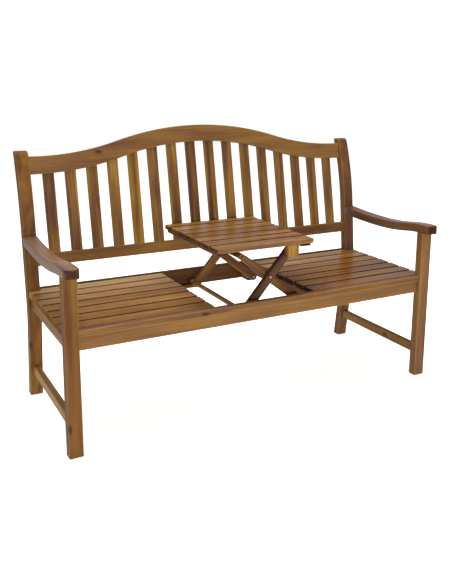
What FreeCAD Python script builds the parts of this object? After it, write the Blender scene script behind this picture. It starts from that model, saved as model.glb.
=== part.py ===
import FreeCAD, Part
import math
import os
import Sketcher

# Companion seat bench: two slatted seats and, between them, a slatted table on a scissor.
# The table stands raised at rest and folds down flush with the seats.
# X runs along the bench (to the right as one faces it), Y from front to back, Z up.
# The origin is on the ground, in the middle of the bench's length and depth.

doc = FreeCAD.newDocument("companion_seat_bench")
sheet = doc.addObject("Spreadsheet::Sheet", "dims")
sheet.Label = "dims"

# Driving dimensions in millimetres and degrees.
# Every "from_front" place is measured backwards from the front face of the front posts.
DIMENSIONS = {
    # posts
    "front_face": -303.8,          # Y of the front posts' front faces
    "posts_span": 1500.0,          # over the outer faces of the posts
    "post_wide": 48.0,
    "post_deep": 36.0,
    "front_post_top_front": 608.0,
    "front_post_top_back": 606.75,
    "post_ease": 2.5,
    "knee_from_front": 500.6,      # where the rear post's two straight runs would meet
    "knee_height": 336.0,
    "rake": 7.52,                  # lower run of the rear post, feet out to the back
    "lean": 5.71,                  # upper run of the rear post
    "knee_radius": 400.0,
    "bow_height": 640.0,           # where the upper run starts to bow backwards
    "bow_radius": 1190.0,
    "rear_post_top": 937.0,
    "post_top_round": 18.0,        # front edge of the rear post's top
    "post_top_back_round": 5.0,
    # arms
    "arm_wide": 52.0,
    "arm_thick": 34.0,
    "arm_nose": 34.0,              # overhang in front of the front post
    "arm_nose_round": 17.0,
    "arm_low_top": 620.2,          # top of the arm at its lowest place
    "arm_low_from_front": 285.0,
    "arm_back_radius": 2594.0,
    "arm_fore_radius": 1206.0,
    "arm_nose_radius": 750.0,
    "arm_turn_from_front": 105.0,  # where the curve turns over into the nose
    "arm_ease": 3.0,
    "arm_fit": 0.02,               # joint between the arm's rear end and the sloping post
    # seat frame
    "seat_top": 428.4,
    "slat_thick": 22.0,
    "frame_low": 357.0,            # underside of apron and side rails
    "apron_thick": 16.0,
    "apron_from_front": 19.5,
    "nosing_deep": 26.0,
    "nosing_from_front": 10.0,
    "nosing_round": 8.0,
    "rear_rail_thick": 16.0,
    "rear_rail_from_front": 529.0,
    "rear_rail_low": 360.0,
    "rear_rail_top": 431.0,
    "side_rail_thick": 23.0,
    "stretcher_low": 91.0,
    "stretcher_top": 126.0,
    "bearer_thick": 23.0,
    "bearer_inner": 222.0,         # X of the inner face of the inner seat bearers
    "bearer_low": 366.0,
    # seat slats
    "slat_wide": 62.5,
    "slat_pitch": 70.8,
    "first_slat_from_front": 38.0,
    "slat_outer_end": 746.0,
    "slat_inner_end": 208.0,
    "slat_corner": 2.4,            # flat taken off each corner in plan
    "slat_ease": 1.8,
    "notch_gap": 0.8,
    # back
    "back_lean": 10.57,
    "back_from_front": 531.0,      # front of the back's plane at back_low
    "back_low": 560.0,
    "back_rail_tall": 45.0,
    "back_rail_thick": 24.0,
    "crest_thick": 26.0,
    "crest_band": 67.0,
    "crest_end_low": 297.5,        # measured up the leaning plane from back_low
    "arch_radius": 1200.0,
    "shoulder_radius": 1062.0,
    "arch_angle": 17.23,
    "back_slat_wide": 43.0,
    "back_slat_thick": 12.0,
    "back_slat_pitch": 84.4,
    "tenon": 12.0,
    "back_ease": 2.2,
    # table
    "table_half": 201.8,
    "table_shift": 3.2,            # the table's middle stands right of the bench's middle
    "table_top": 630.6,
    "table_slat_thick": 17.5,
    "table_front": 40.0,
    "table_rear_slat": 48.0,
    "table_rear_shift": 3.0,       # the rearmost slat stands this much off the common pitch
    "table_corner": 7.0,
    "batten_wide": 45.0,
    "batten_thick": 11.5,
    "batten_inner": 152.0,         # from the table's middle
    "batten_setback": 12.0,
    "lug_wide": 52.0,
    "lug_thick": 20.0,
    "lug_low": 571.0,
    "lug_shift": 6.5,              # the lug's middle stands right of its pin
    "pin_inset": 4.0,
    "strip_wide": 18.0,
    "strip_left": -168.0,
    "strip_right": -58.0,
    "strip_from_front": 106.0,
    # scissor, in the plane of the bench's length and height
    "hinge_along": 181.0,
    "hinge_height": 380.0,
    "inner_leg_angle": 37.9,
    "inner_leg_foot": 191.3,       # from the crossing bolt down to the foot hinge
    "inner_leg_head": 139.4,       # from the crossing bolt up to the cross rail
    "outer_leg_angle": 49.0,
    "outer_leg_foot": 160.0,
    "outer_leg_head": 116.59,      # makes the table flush and the rail's track level when down
    "outer_leg_beyond": 19.0,      # wood past the lug pin
    "leg_wide": 31.0,
    "leg_thick": 19.4,
    "outer_leg_from_front": 60.6,
    "inner_leg_from_front": 80.8,
    "leg_taper": 93.0,             # length over which an inner leg narrows to its head
    "leg_tip_round": 8.0,
    "leg_ease": 1.5,
    "cross_rail_round": 10.7,      # radius of the cross rail
    "rail_tenon_round": 5.5,
    "tip_half": 10.2,              # half the width of an inner leg's head
    "foot_bar_round": 9.4,
    "foot_bar_gap": 4.0,           # clear of apron and rear rail
    "runner_wide": 20.0,
    "runner_tall": 15.0,
    "runner_left": -205.0,
    "runner_right": -40.0,
    "runner_dish": 4.2,
    "dish_spare": 6.0,
    "slide_gap": 0.35,
    "block_wide": 34.0,
    "block_low": 360.0,
    "block_top": 397.0,
    # bolts
    "bolt_radius": 3.0,
    "bolt_run": 0.06,              # running clearance on the radius
    "head_radius": 5.0,
    "head_thick": 2.2,
}

for row, (alias, value) in enumerate(DIMENSIONS.items(), start=1):
    sheet.set(f"A{row}", alias)
    sheet.set(f"B{row}", str(value))
    sheet.setAlias(f"B{row}", alias)
doc.recompute()

SUB_PARTS = []
NEAR = 0.1  # millimetres within which an edge counts as lying at a place


def number(expression):
    """Value of an expression over the sheet, such as "dims.slat_wide / 2"."""
    return float(sheet.evalExpression(expression))


def keep(sub_part, label):
    """Names a finished sub-part; it becomes a node of its own."""
    sub_part.Label = label
    SUB_PARTS.append(sub_part)
    return sub_part


def place(sub_part, along="0", back="0", up="0", axis="vector(0; 1; 0)", angle="0"):
    """Places a sub-part; back counts from the front posts' front faces."""
    position = f"vector({along}; dims.front_face + {back}; {up})"
    sub_part.setExpression("Placement", f"placement({position}; rotation({axis}; {angle}))")


def start_sketch(body, role, name):
    """A sketch on one of the body's own planes."""
    sketch = body.newObject("Sketcher::SketchObject", f"{body.Name}_{name}")
    plane = next(item for item in body.Origin.OriginFeatures if item.Role == role)
    sketch.AttachmentSupport = [(plane, "")]
    sketch.MapMode = "FlatFace"
    return sketch


def pin_point(sketch, geometry, end, point):
    """Holds one end of a line or arc at a point given by two expressions."""
    for kind, expression in zip(("DistanceX", "DistanceY"), point):
        held = Sketcher.Constraint(kind, -1, 1, geometry, end, number(expression))
        sketch.setExpression(f"Constraints[{sketch.addConstraint(held)}]", expression)


def draw_outline(sketch, points, arcs=None):
    """Closed outline through points; arcs maps a side's number to its radius and its hand.

    A side's hand is +1 where its centre lies to the left of the way from its first point
    to its second, and -1 where it lies to the right.
    """
    arcs = arcs or {}
    values = [FreeCAD.Vector(number(u), number(v), 0) for u, v in points]
    for side, (first, point) in enumerate(zip(values, points)):
        second = values[(side + 1) % len(values)]
        if side not in arcs:
            line = sketch.addGeometry(Part.LineSegment(first, second))
            pin_point(sketch, line, 1, point)
            pin_point(sketch, line, 2, points[(side + 1) % len(points)])
            continue
        radius, hand = arcs[side]
        chord = second - first
        rise = math.sqrt(max(0.0, number(radius) ** 2 - (chord.Length / 2) ** 2))
        left = FreeCAD.Vector(-chord.y, chord.x, 0).normalize()
        centre = (first + second) / 2 + left * rise * hand
        start, stop = (first, second) if hand > 0 else (second, first)
        circle = Part.Circle(centre, FreeCAD.Vector(0, 0, 1), number(radius))
        angles = [math.atan2((end - centre).y, (end - centre).x) for end in (start, stop)]
        arc = sketch.addGeometry(Part.ArcOfCircle(circle, *angles))
        ends = (1, 2) if hand > 0 else (2, 1)
        pin_point(sketch, arc, ends[0], point)
        pin_point(sketch, arc, ends[1], points[(side + 1) % len(points)])


def draw_circle(sketch, centre, radius):
    """A circle for a bolt hole or a round bar."""
    middle = FreeCAD.Vector(number(centre[0]), number(centre[1]), 0)
    circle = sketch.addGeometry(Part.Circle(middle, FreeCAD.Vector(0, 0, 1), number(radius)))
    pin_point(sketch, circle, 3, centre)
    held = Sketcher.Constraint("Radius", circle, number(radius))
    sketch.setExpression(f"Constraints[{sketch.addConstraint(held)}]", radius)


def pad(body, sketch, thickness, midplane=False):
    """The sketch given its thickness."""
    feature = body.newObject("PartDesign::Pad", f"{body.Name}_pad")
    feature.Profile = sketch
    feature.setExpression("Length", thickness)
    feature.Midplane = midplane
    doc.recompute()
    return feature


def cut_through(body, sketch):
    """A pocket right through; it has to take something away."""
    before = body.Shape.Volume
    pocket = body.newObject("PartDesign::Pocket", f"{body.Name}_pocket")
    pocket.Profile = sketch
    pocket.Type = "ThroughAll"
    pocket.Midplane = True
    doc.recompute()
    if body.Shape.Volume >= before:
        raise RuntimeError(f"{body.Label}: the pocket cuts nothing")
    return pocket


def chosen_edges(shape, chosen):
    """Names of the edges that the test "chosen" picks by their middle and direction."""
    names = []
    for index, edge in enumerate(shape.Edges, start=1):
        middle = edge.valueAt((edge.FirstParameter + edge.LastParameter) / 2)
        way = edge.lastVertex().Point - edge.firstVertex().Point
        if way.Length > 0 and chosen(middle, way.normalize()):
            names.append(f"Edge{index}")
    return names


def dress(body, kind, size_name, size, chosen):
    """Adds a fillet or a chamfer on the chosen edges of the body so far."""
    base = body.Tip
    feature = body.newObject(f"PartDesign::{kind}", f"{body.Name}_{kind.lower()}{len(body.Group)}")
    feature.Base = (base, chosen_edges(base.Shape, chosen))
    feature.setExpression(size_name, size)
    body.Tip = feature
    doc.recompute()
    return feature


def round_off(body, radius, chosen):
    """Rounds the chosen edges."""
    return dress(body, "Fillet", "Radius", radius, chosen)


def ease(body, size, chosen):
    """Takes the sharpness off the chosen edges with a small flat."""
    return dress(body, "Chamfer", "Size", size, chosen)


def new_body(label):
    """An empty body that becomes a node of that name."""
    return keep(doc.addObject("PartDesign::Body", label), label)


def bar_along(label, wide, tall, long, low, radius):
    """A square bar along X: low is its left, front, lower corner; its long edges are eased."""
    body = new_body(label)
    sketch = start_sketch(body, "YZ_Plane", "section")
    draw_outline(sketch, [("0", "0"), (wide, "0"), (wide, tall), ("0", tall)])
    pad(body, sketch, long)
    ease(body, radius, lambda middle, way: abs(way.x) > 0.99)
    place(body, *low)
    return body


def bar_back(label, wide, tall, long, low, radius):
    """A square bar along Y: low is its left, front, lower corner; its long edges are eased."""
    body = new_body(label)
    sketch = start_sketch(body, "YZ_Plane", "side")
    draw_outline(sketch, [("0", "0"), (long, "0"), (long, tall), ("0", tall)])
    pad(body, sketch, wide)
    ease(body, radius, lambda middle, way: abs(way.y) > 0.99)
    place(body, *low)
    return body


def board(label, long, deep, thick, low, corner, radius):
    """A flat slat with its corners taken off and eased upper edges; low is its lowest corner."""
    body = new_body(label)
    sketch = start_sketch(body, "XY_Plane", "plan")
    draw_outline(sketch, [("0", "0"), (long, "0"), (long, deep), ("0", deep)])
    pad(body, sketch, thick)
    ease(body, corner, lambda middle, way: abs(way.z) > 0.99)
    ease(body, radius, lambda middle, way: middle.z > number(thick) - NEAR)
    place(body, *low)
    return body


# Post and arm profiles, seen from the right, as distances from the front and heights.
KNEE_SETBACK = "dims.knee_radius * tan((dims.rake + dims.lean) / 2)"
BOW_RUN = "((dims.bow_height - dims.knee_height) / cos(dims.lean))"


def lower_run(height, outward="0"):
    """Distance from the front of the rear post's lower run at a height."""
    slope = f"(dims.knee_height - {height}) * tan(dims.rake)"
    return f"(dims.knee_from_front + {slope} + {outward} / cos(dims.rake))"


def upper_run(height, outward="0"):
    """Distance from the front of the rear post's upper run at a height."""
    slope = f"({height} - dims.knee_height) * tan(dims.lean)"
    return f"(dims.knee_from_front + {slope} + {outward} / cos(dims.lean))"


def rear_post_face(outward):
    """Points of one face of the rear post, from the foot up; outward is its depth inside."""
    from_knee = f"({KNEE_SETBACK})"
    foot = (lower_run("0", outward), "0")
    below = (
        f"dims.knee_from_front + {from_knee} * sin(dims.rake) + {outward} * cos(dims.rake)",
        f"dims.knee_height - {from_knee} * cos(dims.rake) + {outward} * sin(dims.rake)",
    )
    above = (
        f"dims.knee_from_front + {from_knee} * sin(dims.lean) + {outward} * cos(dims.lean)",
        f"dims.knee_height + {from_knee} * cos(dims.lean) - {outward} * sin(dims.lean)",
    )
    bow = (
        f"dims.knee_from_front + {BOW_RUN} * sin(dims.lean) + {outward} * cos(dims.lean)",
        f"dims.knee_height + {BOW_RUN} * cos(dims.lean) - {outward} * sin(dims.lean)",
    )
    radius = f"(dims.bow_radius - {outward})"
    centre_back = f"({bow[0]} + {radius} * cos(dims.lean))"
    centre_up = f"({bow[1]} - {radius} * sin(dims.lean))"
    reach = f"sqrt({radius} ^ 2 - (dims.rear_post_top - {centre_up}) ^ 2)"
    top = (f"{centre_back} - {reach}", "dims.rear_post_top")
    return [foot, below, above, bow, top]


def make_rear_post(label, along):
    """Dog-leg rear post, bowed backwards above the arms."""
    body = new_body(label)
    sketch = start_sketch(body, "YZ_Plane", "side")
    front = rear_post_face("0")
    back = rear_post_face("dims.post_deep")
    arcs = {
        1: ("dims.knee_radius", -1),
        3: ("dims.bow_radius", -1),
        5: ("(dims.bow_radius - dims.post_deep)", 1),
        7: ("(dims.knee_radius - dims.post_deep)", 1),
    }
    draw_outline(sketch, front + back[::-1], arcs)
    pad(body, sketch, "dims.post_wide")
    top = number("dims.rear_post_top")
    middle_of_top = (number(front[4][0]) + number(back[4][0])) / 2
    round_off(body, "dims.post_top_round",
         lambda middle, way: middle.z > top - NEAR and abs(way.x) > 0.99 and middle.y < middle_of_top)
    round_off(body, "dims.post_top_back_round",
         lambda middle, way: middle.z > top - NEAR and abs(way.x) > 0.99 and middle.y > middle_of_top)
    width = number("dims.post_wide")
    ease(body, "dims.post_ease",
         lambda middle, way: middle.z > 1 and abs(way.x) < 0.5 and min(middle.x, width - middle.x) < NEAR)
    place(body, along)


def make_front_post(label, along):
    """Straight front post; its top follows the underside of the arm."""
    body = new_body(label)
    sketch = start_sketch(body, "YZ_Plane", "side")
    draw_outline(sketch, [
        ("0", "0"),
        ("dims.post_deep", "0"),
        ("dims.post_deep", "dims.front_post_top_back"),
        ("0", "dims.front_post_top_front"),
    ])
    pad(body, sketch, "dims.post_wide")
    ease(body, "dims.post_ease", lambda middle, way: abs(way.z) > 0.99)
    place(body, along)


def arm_face(inward):
    """Points of the arm's top (inward 0) or underside (inward the thickness), back to front."""
    back_radius = f"(dims.arm_back_radius + {inward})"
    back_centre = "(dims.arm_low_top + dims.arm_back_radius)"
    reach = f"({upper_run('dims.arm_low_top')} - dims.arm_low_from_front)"
    end = upper_run(f"({back_centre} - sqrt({back_radius} ^ 2 - {reach} ^ 2))", "-dims.arm_fit")
    back_up = f"{back_centre} - sqrt({back_radius} ^ 2 - ({end} - dims.arm_low_from_front) ^ 2)"
    turn = "asin((dims.arm_low_from_front - dims.arm_turn_from_front) / dims.arm_fore_radius)"
    fore_radius = f"(dims.arm_fore_radius + {inward})"
    fore_centre = "(dims.arm_low_top + dims.arm_fore_radius)"
    turn_back = f"dims.arm_low_from_front - {fore_radius} * sin({turn})"
    turn_up = f"{fore_centre} - {fore_radius} * cos({turn})"
    nose_radius = f"(dims.arm_nose_radius - {inward})"
    nose_back = f"({turn_back} - {nose_radius} * sin({turn}))"
    nose_centre = f"({turn_up} - {nose_radius} * cos({turn}))"
    nose_up = f"{nose_centre} + sqrt({nose_radius} ^ 2 - ({nose_back} + dims.arm_nose) ^ 2)"
    return [
        (end, back_up),
        ("dims.arm_low_from_front", f"dims.arm_low_top - {inward}"),
        (turn_back, turn_up),
        ("-dims.arm_nose", nose_up),
    ]


def make_arm(label, along):
    """Arm with a dished top, its nose turned over and rounded in plan."""
    body = new_body(label)
    sketch = start_sketch(body, "YZ_Plane", "side")
    top = arm_face("0")
    under = arm_face("dims.arm_thick")
    arcs = {
        0: ("dims.arm_back_radius", -1),
        1: ("dims.arm_fore_radius", -1),
        2: ("dims.arm_nose_radius", 1),
        4: ("(dims.arm_nose_radius - dims.arm_thick)", -1),
        5: ("(dims.arm_fore_radius + dims.arm_thick)", 1),
        6: ("(dims.arm_back_radius + dims.arm_thick)", 1),
    }
    draw_outline(sketch, top + under[::-1], arcs)
    pad(body, sketch, "dims.arm_wide")
    nose = -number("dims.arm_nose")
    round_off(body, "dims.arm_nose_round",
         lambda middle, way: abs(middle.y - nose) < NEAR and abs(way.z) > 0.9)
    level = number("dims.arm_low_top - dims.arm_thick / 2")
    end = number(top[0][0])
    ease(body, "dims.arm_ease",
         lambda middle, way: middle.z > level and abs(way.z) < 0.9 and middle.y < end - NEAR)
    place(body, along)


def make_side_rail(label, along, low, top, back_low, back_top):
    """Rail between a front and a rear post; its rear end follows the post's slope."""
    body = new_body(label)
    sketch = start_sketch(body, "YZ_Plane", "side")
    draw_outline(sketch, [
        ("dims.post_deep", low),
        (back_low, low),
        (back_top, top),
        ("dims.post_deep", top),
    ])
    pad(body, sketch, "dims.side_rail_thick")
    ease(body, "dims.post_ease", lambda middle, way: abs(way.y) > 0.99)
    place(body, along)


# Posts, arms, side rails and stretchers, left and right.
INNER_FACE = "(dims.posts_span / 2 - dims.post_wide)"
for side, hand in (("left", -1), ("right", 1)):
    post_low = f"{hand} * dims.posts_span / 2 - {(1 + hand) // 2} * dims.post_wide"
    middle_of_post = f"{hand} * (dims.posts_span - dims.post_wide) / 2"
    rail_low = f"{middle_of_post} - dims.side_rail_thick / 2"
    make_front_post(f"front_post_{side}", post_low)
    make_rear_post(f"rear_post_{side}", post_low)
    make_arm(f"arm_{side}", f"{middle_of_post} - dims.arm_wide / 2")
    frame_top = "(dims.seat_top - dims.slat_thick)"
    make_side_rail(f"side_rail_{side}", rail_low, "dims.frame_low", frame_top,
                   upper_run("dims.frame_low"), upper_run(frame_top))
    make_side_rail(f"side_stretcher_{side}", rail_low, "dims.stretcher_low", "dims.stretcher_top",
                   lower_run("dims.stretcher_low"), lower_run("dims.stretcher_top"))

# Seat frame between the posts.
between = f"2 * {INNER_FACE}"
from_left = f"-{INNER_FACE}"
FRAME_TOP = "(dims.seat_top - dims.slat_thick)"
bar_along("front_apron", "dims.apron_thick", f"{FRAME_TOP} - dims.frame_low", between,
          (from_left, "dims.apron_from_front", "dims.frame_low"), "dims.back_ease")
bar_along("rear_rail", "dims.rear_rail_thick", "dims.rear_rail_top - dims.rear_rail_low", between,
          (from_left, "dims.rear_rail_from_front", "dims.rear_rail_low"), "dims.back_ease")

nosing = new_body("front_nosing")
nosing_sketch = start_sketch(nosing, "YZ_Plane", "section")
draw_outline(nosing_sketch, [
    ("0", "0"),
    ("dims.nosing_deep", "0"),
    ("dims.nosing_deep", "dims.slat_thick"),
    ("0", "dims.slat_thick"),
])
pad(nosing, nosing_sketch, between)
round_off(nosing, "dims.nosing_round", lambda middle, way: abs(way.x) > 0.99 and middle.y < NEAR)
place(nosing, from_left, "dims.nosing_from_front", FRAME_TOP)

for side, low in (("left", "-dims.bearer_inner - dims.bearer_thick"), ("right", "dims.bearer_inner")):
    front = "(dims.apron_from_front + dims.apron_thick)"
    bar_back(f"seat_bearer_{side}", "dims.bearer_thick", f"{FRAME_TOP} - dims.bearer_low",
             f"dims.rear_rail_from_front - {front}", (low, front, "dims.bearer_low"), "dims.slat_ease")

# Seat slats, counted from the front; the rearmost is notched round the rear post.
SEAT_SLATS = 7
slat_long = "dims.slat_outer_end - dims.slat_inner_end"
for side, hand in (("left", -1), ("right", 1)):
    slat_low = "-dims.slat_outer_end" if hand < 0 else "dims.slat_inner_end"
    for index in range(SEAT_SLATS - 1):
        slat_front = f"dims.first_slat_from_front + {index} * dims.slat_pitch"
        board(f"seat_slat_{side}_{index + 1}", slat_long, "dims.slat_wide", "dims.slat_thick",
              (slat_low, slat_front, FRAME_TOP), "dims.slat_corner", "dims.slat_ease")
    last_front = f"(dims.first_slat_from_front + {SEAT_SLATS - 1} * dims.slat_pitch)"
    notch_deep = f"{upper_run(FRAME_TOP)} - dims.notch_gap - {last_front}"
    notch_in = f"{slat_long} - (dims.slat_outer_end - {INNER_FACE}) - dims.notch_gap"
    plan = [
        ("0", "0"),
        (slat_long, "0"),
        (slat_long, notch_deep),
        (notch_in, notch_deep),
        (notch_in, "dims.slat_wide"),
        ("0", "dims.slat_wide"),
    ]
    if hand < 0:
        plan = [(f"{slat_long} - ({across})", back) for across, back in plan]
    last = new_body(f"seat_slat_{side}_{SEAT_SLATS}")
    last_sketch = start_sketch(last, "XY_Plane", "plan")
    draw_outline(last_sketch, plan)
    pad(last, last_sketch, "dims.slat_thick")
    notch_x = number(notch_in if hand > 0 else f"{slat_long} - ({notch_in})")
    notch_y = number(notch_deep)
    ease(last, "dims.slat_corner",
         lambda middle, way: abs(way.z) > 0.99
         and (abs(middle.x - notch_x) > NEAR or abs(middle.y - notch_y) > NEAR))
    thick = number("dims.slat_thick")
    ease(last, "dims.slat_ease", lambda middle, way: middle.z > thick - NEAR)
    place(last, slat_low, last_front, FRAME_TOP)

# The back leans as one plane: pieces are drawn upright and leaned together.
LEAN_AXIS = "vector(1; 0; 0)"
LEAN_ANGLE = "-dims.back_lean"


def lean_back(sub_part, inward="0", along="0"):
    """Sets an upright piece into the leaning plane, inward behind the plane's front."""
    back = f"dims.back_from_front + {inward} * cos(dims.back_lean)"
    up = f"dims.back_low - {inward} * sin(dims.back_lean)"
    place(sub_part, along, back, up, LEAN_AXIS, LEAN_ANGLE)


def crest_edge(raised):
    """Points of the crest rail's lower (raised 0) or upper edge, from left to right."""
    arch = f"(dims.arch_radius - dims.crest_band + {raised})"
    shoulder = f"(dims.shoulder_radius + dims.crest_band - {raised})"
    turn_along = f"({arch} * sin(dims.arch_angle))"
    full_span = f"({turn_along} + {shoulder} * sin(dims.arch_angle))"
    end_up = f"(dims.crest_end_low + {raised})"
    turn_up = f"({end_up} + {shoulder} * (1 - cos(dims.arch_angle)))"
    half = [(INNER_FACE, end_up), (full_span, end_up), (turn_along, turn_up)]
    return [(f"-{along}", up) for along, up in half] + half[::-1]


def crest_low_at(along):
    """Height of the crest rail's lower edge at a distance from the middle, as a number."""
    arch = number("dims.arch_radius - dims.crest_band")
    shoulder = number("dims.shoulder_radius + dims.crest_band")
    angle = math.radians(number("dims.arch_angle"))
    end_low = number("dims.crest_end_low")
    turn_along = arch * math.sin(angle)
    turn_up = end_low + shoulder * (1 - math.cos(angle))
    away = abs(along)
    if away < turn_along:
        return turn_up + math.sqrt(arch ** 2 - away ** 2) - arch * math.cos(angle)
    full_span = turn_along + shoulder * math.sin(angle)
    if away > full_span:
        return end_low
    return end_low + shoulder - math.sqrt(shoulder ** 2 - (full_span - away) ** 2)


crest = doc.addObject("PartDesign::Body", "crest_board")
crest_sketch = start_sketch(crest, "XZ_Plane", "front")
crest_low = crest_edge("0")
crest_top = crest_edge("dims.crest_band")
crest_arcs = {
    1: ("(dims.shoulder_radius + dims.crest_band)", 1),
    2: ("(dims.arch_radius - dims.crest_band)", -1),
    3: ("(dims.shoulder_radius + dims.crest_band)", 1),
    7: ("dims.shoulder_radius", -1),
    8: ("dims.arch_radius", 1),
    9: ("dims.shoulder_radius", -1),
}
draw_outline(crest_sketch, crest_low + crest_top[::-1], crest_arcs)
pad(crest, crest_sketch, "dims.crest_thick", midplane=True)
half_crest = number(INNER_FACE)
ease(crest, "dims.back_ease",
     lambda middle, way: abs(way.y) < NEAR and abs(abs(middle.x) - half_crest) > NEAR)
lean_back(crest, "dims.crest_thick / 2")

back_rail = doc.addObject("PartDesign::Body", "back_rail_board")
back_rail_sketch = start_sketch(back_rail, "XZ_Plane", "front")
draw_outline(back_rail_sketch, [
    (from_left, "-dims.back_rail_tall"),
    (INNER_FACE, "-dims.back_rail_tall"),
    (INNER_FACE, "0"),
    (from_left, "0"),
])
pad(back_rail, back_rail_sketch, "dims.back_rail_thick", midplane=True)
ease(back_rail, "dims.back_ease", lambda middle, way: abs(way.x) > 0.99)
lean_back(back_rail, "dims.crest_thick / 2")

# Back slats: each pair stands as far left as right of the middle and is of one length.
BACK_PAIRS = 8
back_slats = []
for pair in range(BACK_PAIRS):
    slats = doc.addObject("Part::Compound", f"back_slat_pair_{pair + 1}")
    members = []
    for hand in (-1, 1):
        middle = f"({hand * (pair + 0.5)} * dims.back_slat_pitch)"
        tall = crest_low_at(number(middle)) + 2 * number("dims.tenon")
        slat = doc.addObject("Part::Box", f"back_slat_{'left' if hand < 0 else 'right'}_{pair + 1}")
        slat.setExpression("Length", "dims.back_slat_wide")
        slat.setExpression("Width", "dims.back_slat_thick")
        slat.Height = tall
        edges = doc.addObject("Part::Chamfer", f"{slat.Name}_eased")
        edges.Base = slat
        doc.recompute()
        ease_radius = number("dims.slat_ease")
        edges.Edges = [
            (index, ease_radius, ease_radius)
            for index, edge in enumerate(slat.Shape.Edges, start=1)
            if abs(edge.tangentAt(edge.FirstParameter).z) > 0.99
        ]
        inward = "((dims.crest_thick - dims.back_slat_thick) / 2)"
        place(edges, f"{middle} - dims.back_slat_wide / 2",
              f"dims.back_from_front + {inward} * cos(dims.back_lean) - dims.tenon * sin(dims.back_lean)",
              f"dims.back_low - {inward} * sin(dims.back_lean) - dims.tenon * cos(dims.back_lean)",
              LEAN_AXIS, LEAN_ANGLE)
        members.append(edges)
    slats.Links = members
    keep(slats, f"back_slat_pair_{pair + 1}")
    back_slats.append(slats)
doc.recompute()

# The slats' ends stand in mortises in the crest rail and the lower rail.
mortises = doc.addObject("Part::Compound", "mortises")
mortises.Links = back_slats
for label, whole in (("crest_rail", crest), ("lower_back_rail", back_rail)):
    mortised = doc.addObject("Part::Cut", label)
    mortised.Base = whole
    mortised.Tool = mortises
    keep(mortised, label)
doc.recompute()

# Table: slats on the same pitch as the seat, so that they line up when it is down.
TABLE_SLATS = 7
TABLE_UNDER = "(dims.table_top - dims.table_slat_thick)"
table_long = "2 * dims.table_half"
TABLE_LAST = f"(dims.first_slat_from_front + {TABLE_SLATS - 1} * dims.slat_pitch + dims.table_rear_shift)"
TABLE_BACK = f"({TABLE_LAST} + dims.table_rear_slat)"
for index in range(TABLE_SLATS):
    slat_front = f"(dims.first_slat_from_front + {index} * dims.slat_pitch)"
    slat_deep = "dims.slat_wide"
    if index == 0:
        slat_deep = f"({slat_front} + dims.slat_wide - dims.table_front)"
        slat_front = "dims.table_front"
    if index == TABLE_SLATS - 1:
        slat_front = TABLE_LAST
        slat_deep = "dims.table_rear_slat"
    slat = new_body(f"table_slat_{index + 1}")
    slat_sketch = start_sketch(slat, "XY_Plane", "plan")
    draw_outline(slat_sketch, [
        ("0", "0"),
        (table_long, "0"),
        (table_long, slat_deep),
        ("0", slat_deep),
    ])
    pad(slat, slat_sketch, "dims.table_slat_thick")
    deep = number(slat_deep)
    if index == 0:
        round_off(slat, "dims.table_corner", lambda middle, way: abs(way.z) > 0.99 and middle.y < NEAR)
        ease(slat, "dims.slat_corner", lambda middle, way: abs(way.z) > 0.99 and middle.y > deep - NEAR)
    elif index == TABLE_SLATS - 1:
        round_off(slat, "dims.table_corner",
                  lambda middle, way: abs(way.z) > 0.99 and middle.y > deep - NEAR)
        ease(slat, "dims.slat_corner", lambda middle, way: abs(way.z) > 0.99 and middle.y < NEAR)
    else:
        ease(slat, "dims.slat_corner", lambda middle, way: abs(way.z) > 0.99)
    thick = number("dims.table_slat_thick")
    ease(slat, "dims.slat_ease", lambda middle, way: middle.z > thick - NEAR)
    place(slat, "dims.table_shift - dims.table_half", slat_front, TABLE_UNDER)



def grouped(label, members):
    """Like pieces kept together in one node, each a solid of its own."""
    group = doc.addObject("Part::Compound", label)
    group.Links = members
    return keep(group, label)


# Battens under the two ends of the table.
BATTEN_LOW = f"({TABLE_UNDER} - dims.batten_thick)"
BATTEN_LONG = f"({TABLE_BACK} - dims.table_front - 2 * dims.batten_setback)"
battens = []
BATTEN_LEFT = "(dims.table_shift - dims.batten_inner)"
BATTEN_RIGHT = "(dims.table_shift + dims.batten_inner)"
for side, low in (("left", f"{BATTEN_LEFT} - dims.batten_wide"), ("right", BATTEN_RIGHT)):
    batten = doc.addObject("PartDesign::Body", f"table_batten_{side}")
    batten_sketch = start_sketch(batten, "XY_Plane", "plan")
    draw_outline(batten_sketch, [
        ("0", "0"),
        ("dims.batten_wide", "0"),
        ("dims.batten_wide", BATTEN_LONG),
        ("0", BATTEN_LONG),
    ])
    pad(batten, batten_sketch, "dims.batten_thick")
    round_off(batten, "dims.table_corner", lambda middle, way: abs(way.z) > 0.99)
    place(batten, low, "dims.table_front + dims.batten_setback", BATTEN_LOW)
    battens.append(batten)
grouped("table_battens", battens)

# The scissor is the same at the front and at the rear of the table.
FRONT_AND_REAR = (("front", 1), ("rear", -1))


def from_table_end(distance, hand):
    """A place counted from the front edge of the table (hand 1) or from its rear edge."""
    if hand > 0:
        return f"({distance})"
    return f"(dims.table_front + {TABLE_BACK} - ({distance}))"


def round_bar(label, stretches, along, up):
    """A bar along Y turned from round stretches: each has its two ends and its radius."""
    body = new_body(label)
    for count, (low, high, radius) in enumerate(stretches):
        sketch = start_sketch(body, "XZ_Plane", f"round{count}")
        draw_circle(sketch, ("0", "0"), radius)
        sketch.setExpression("AttachmentOffset.Base.z", f"-({low})")
        length = body.newObject("PartDesign::Pad", f"{body.Name}_stretch{count}")
        length.Profile = sketch
        length.setExpression("Length", f"{high} - {low}")
        length.Reversed = True
        doc.recompute()
    place(body, along, "0", up)
    return body


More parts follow.
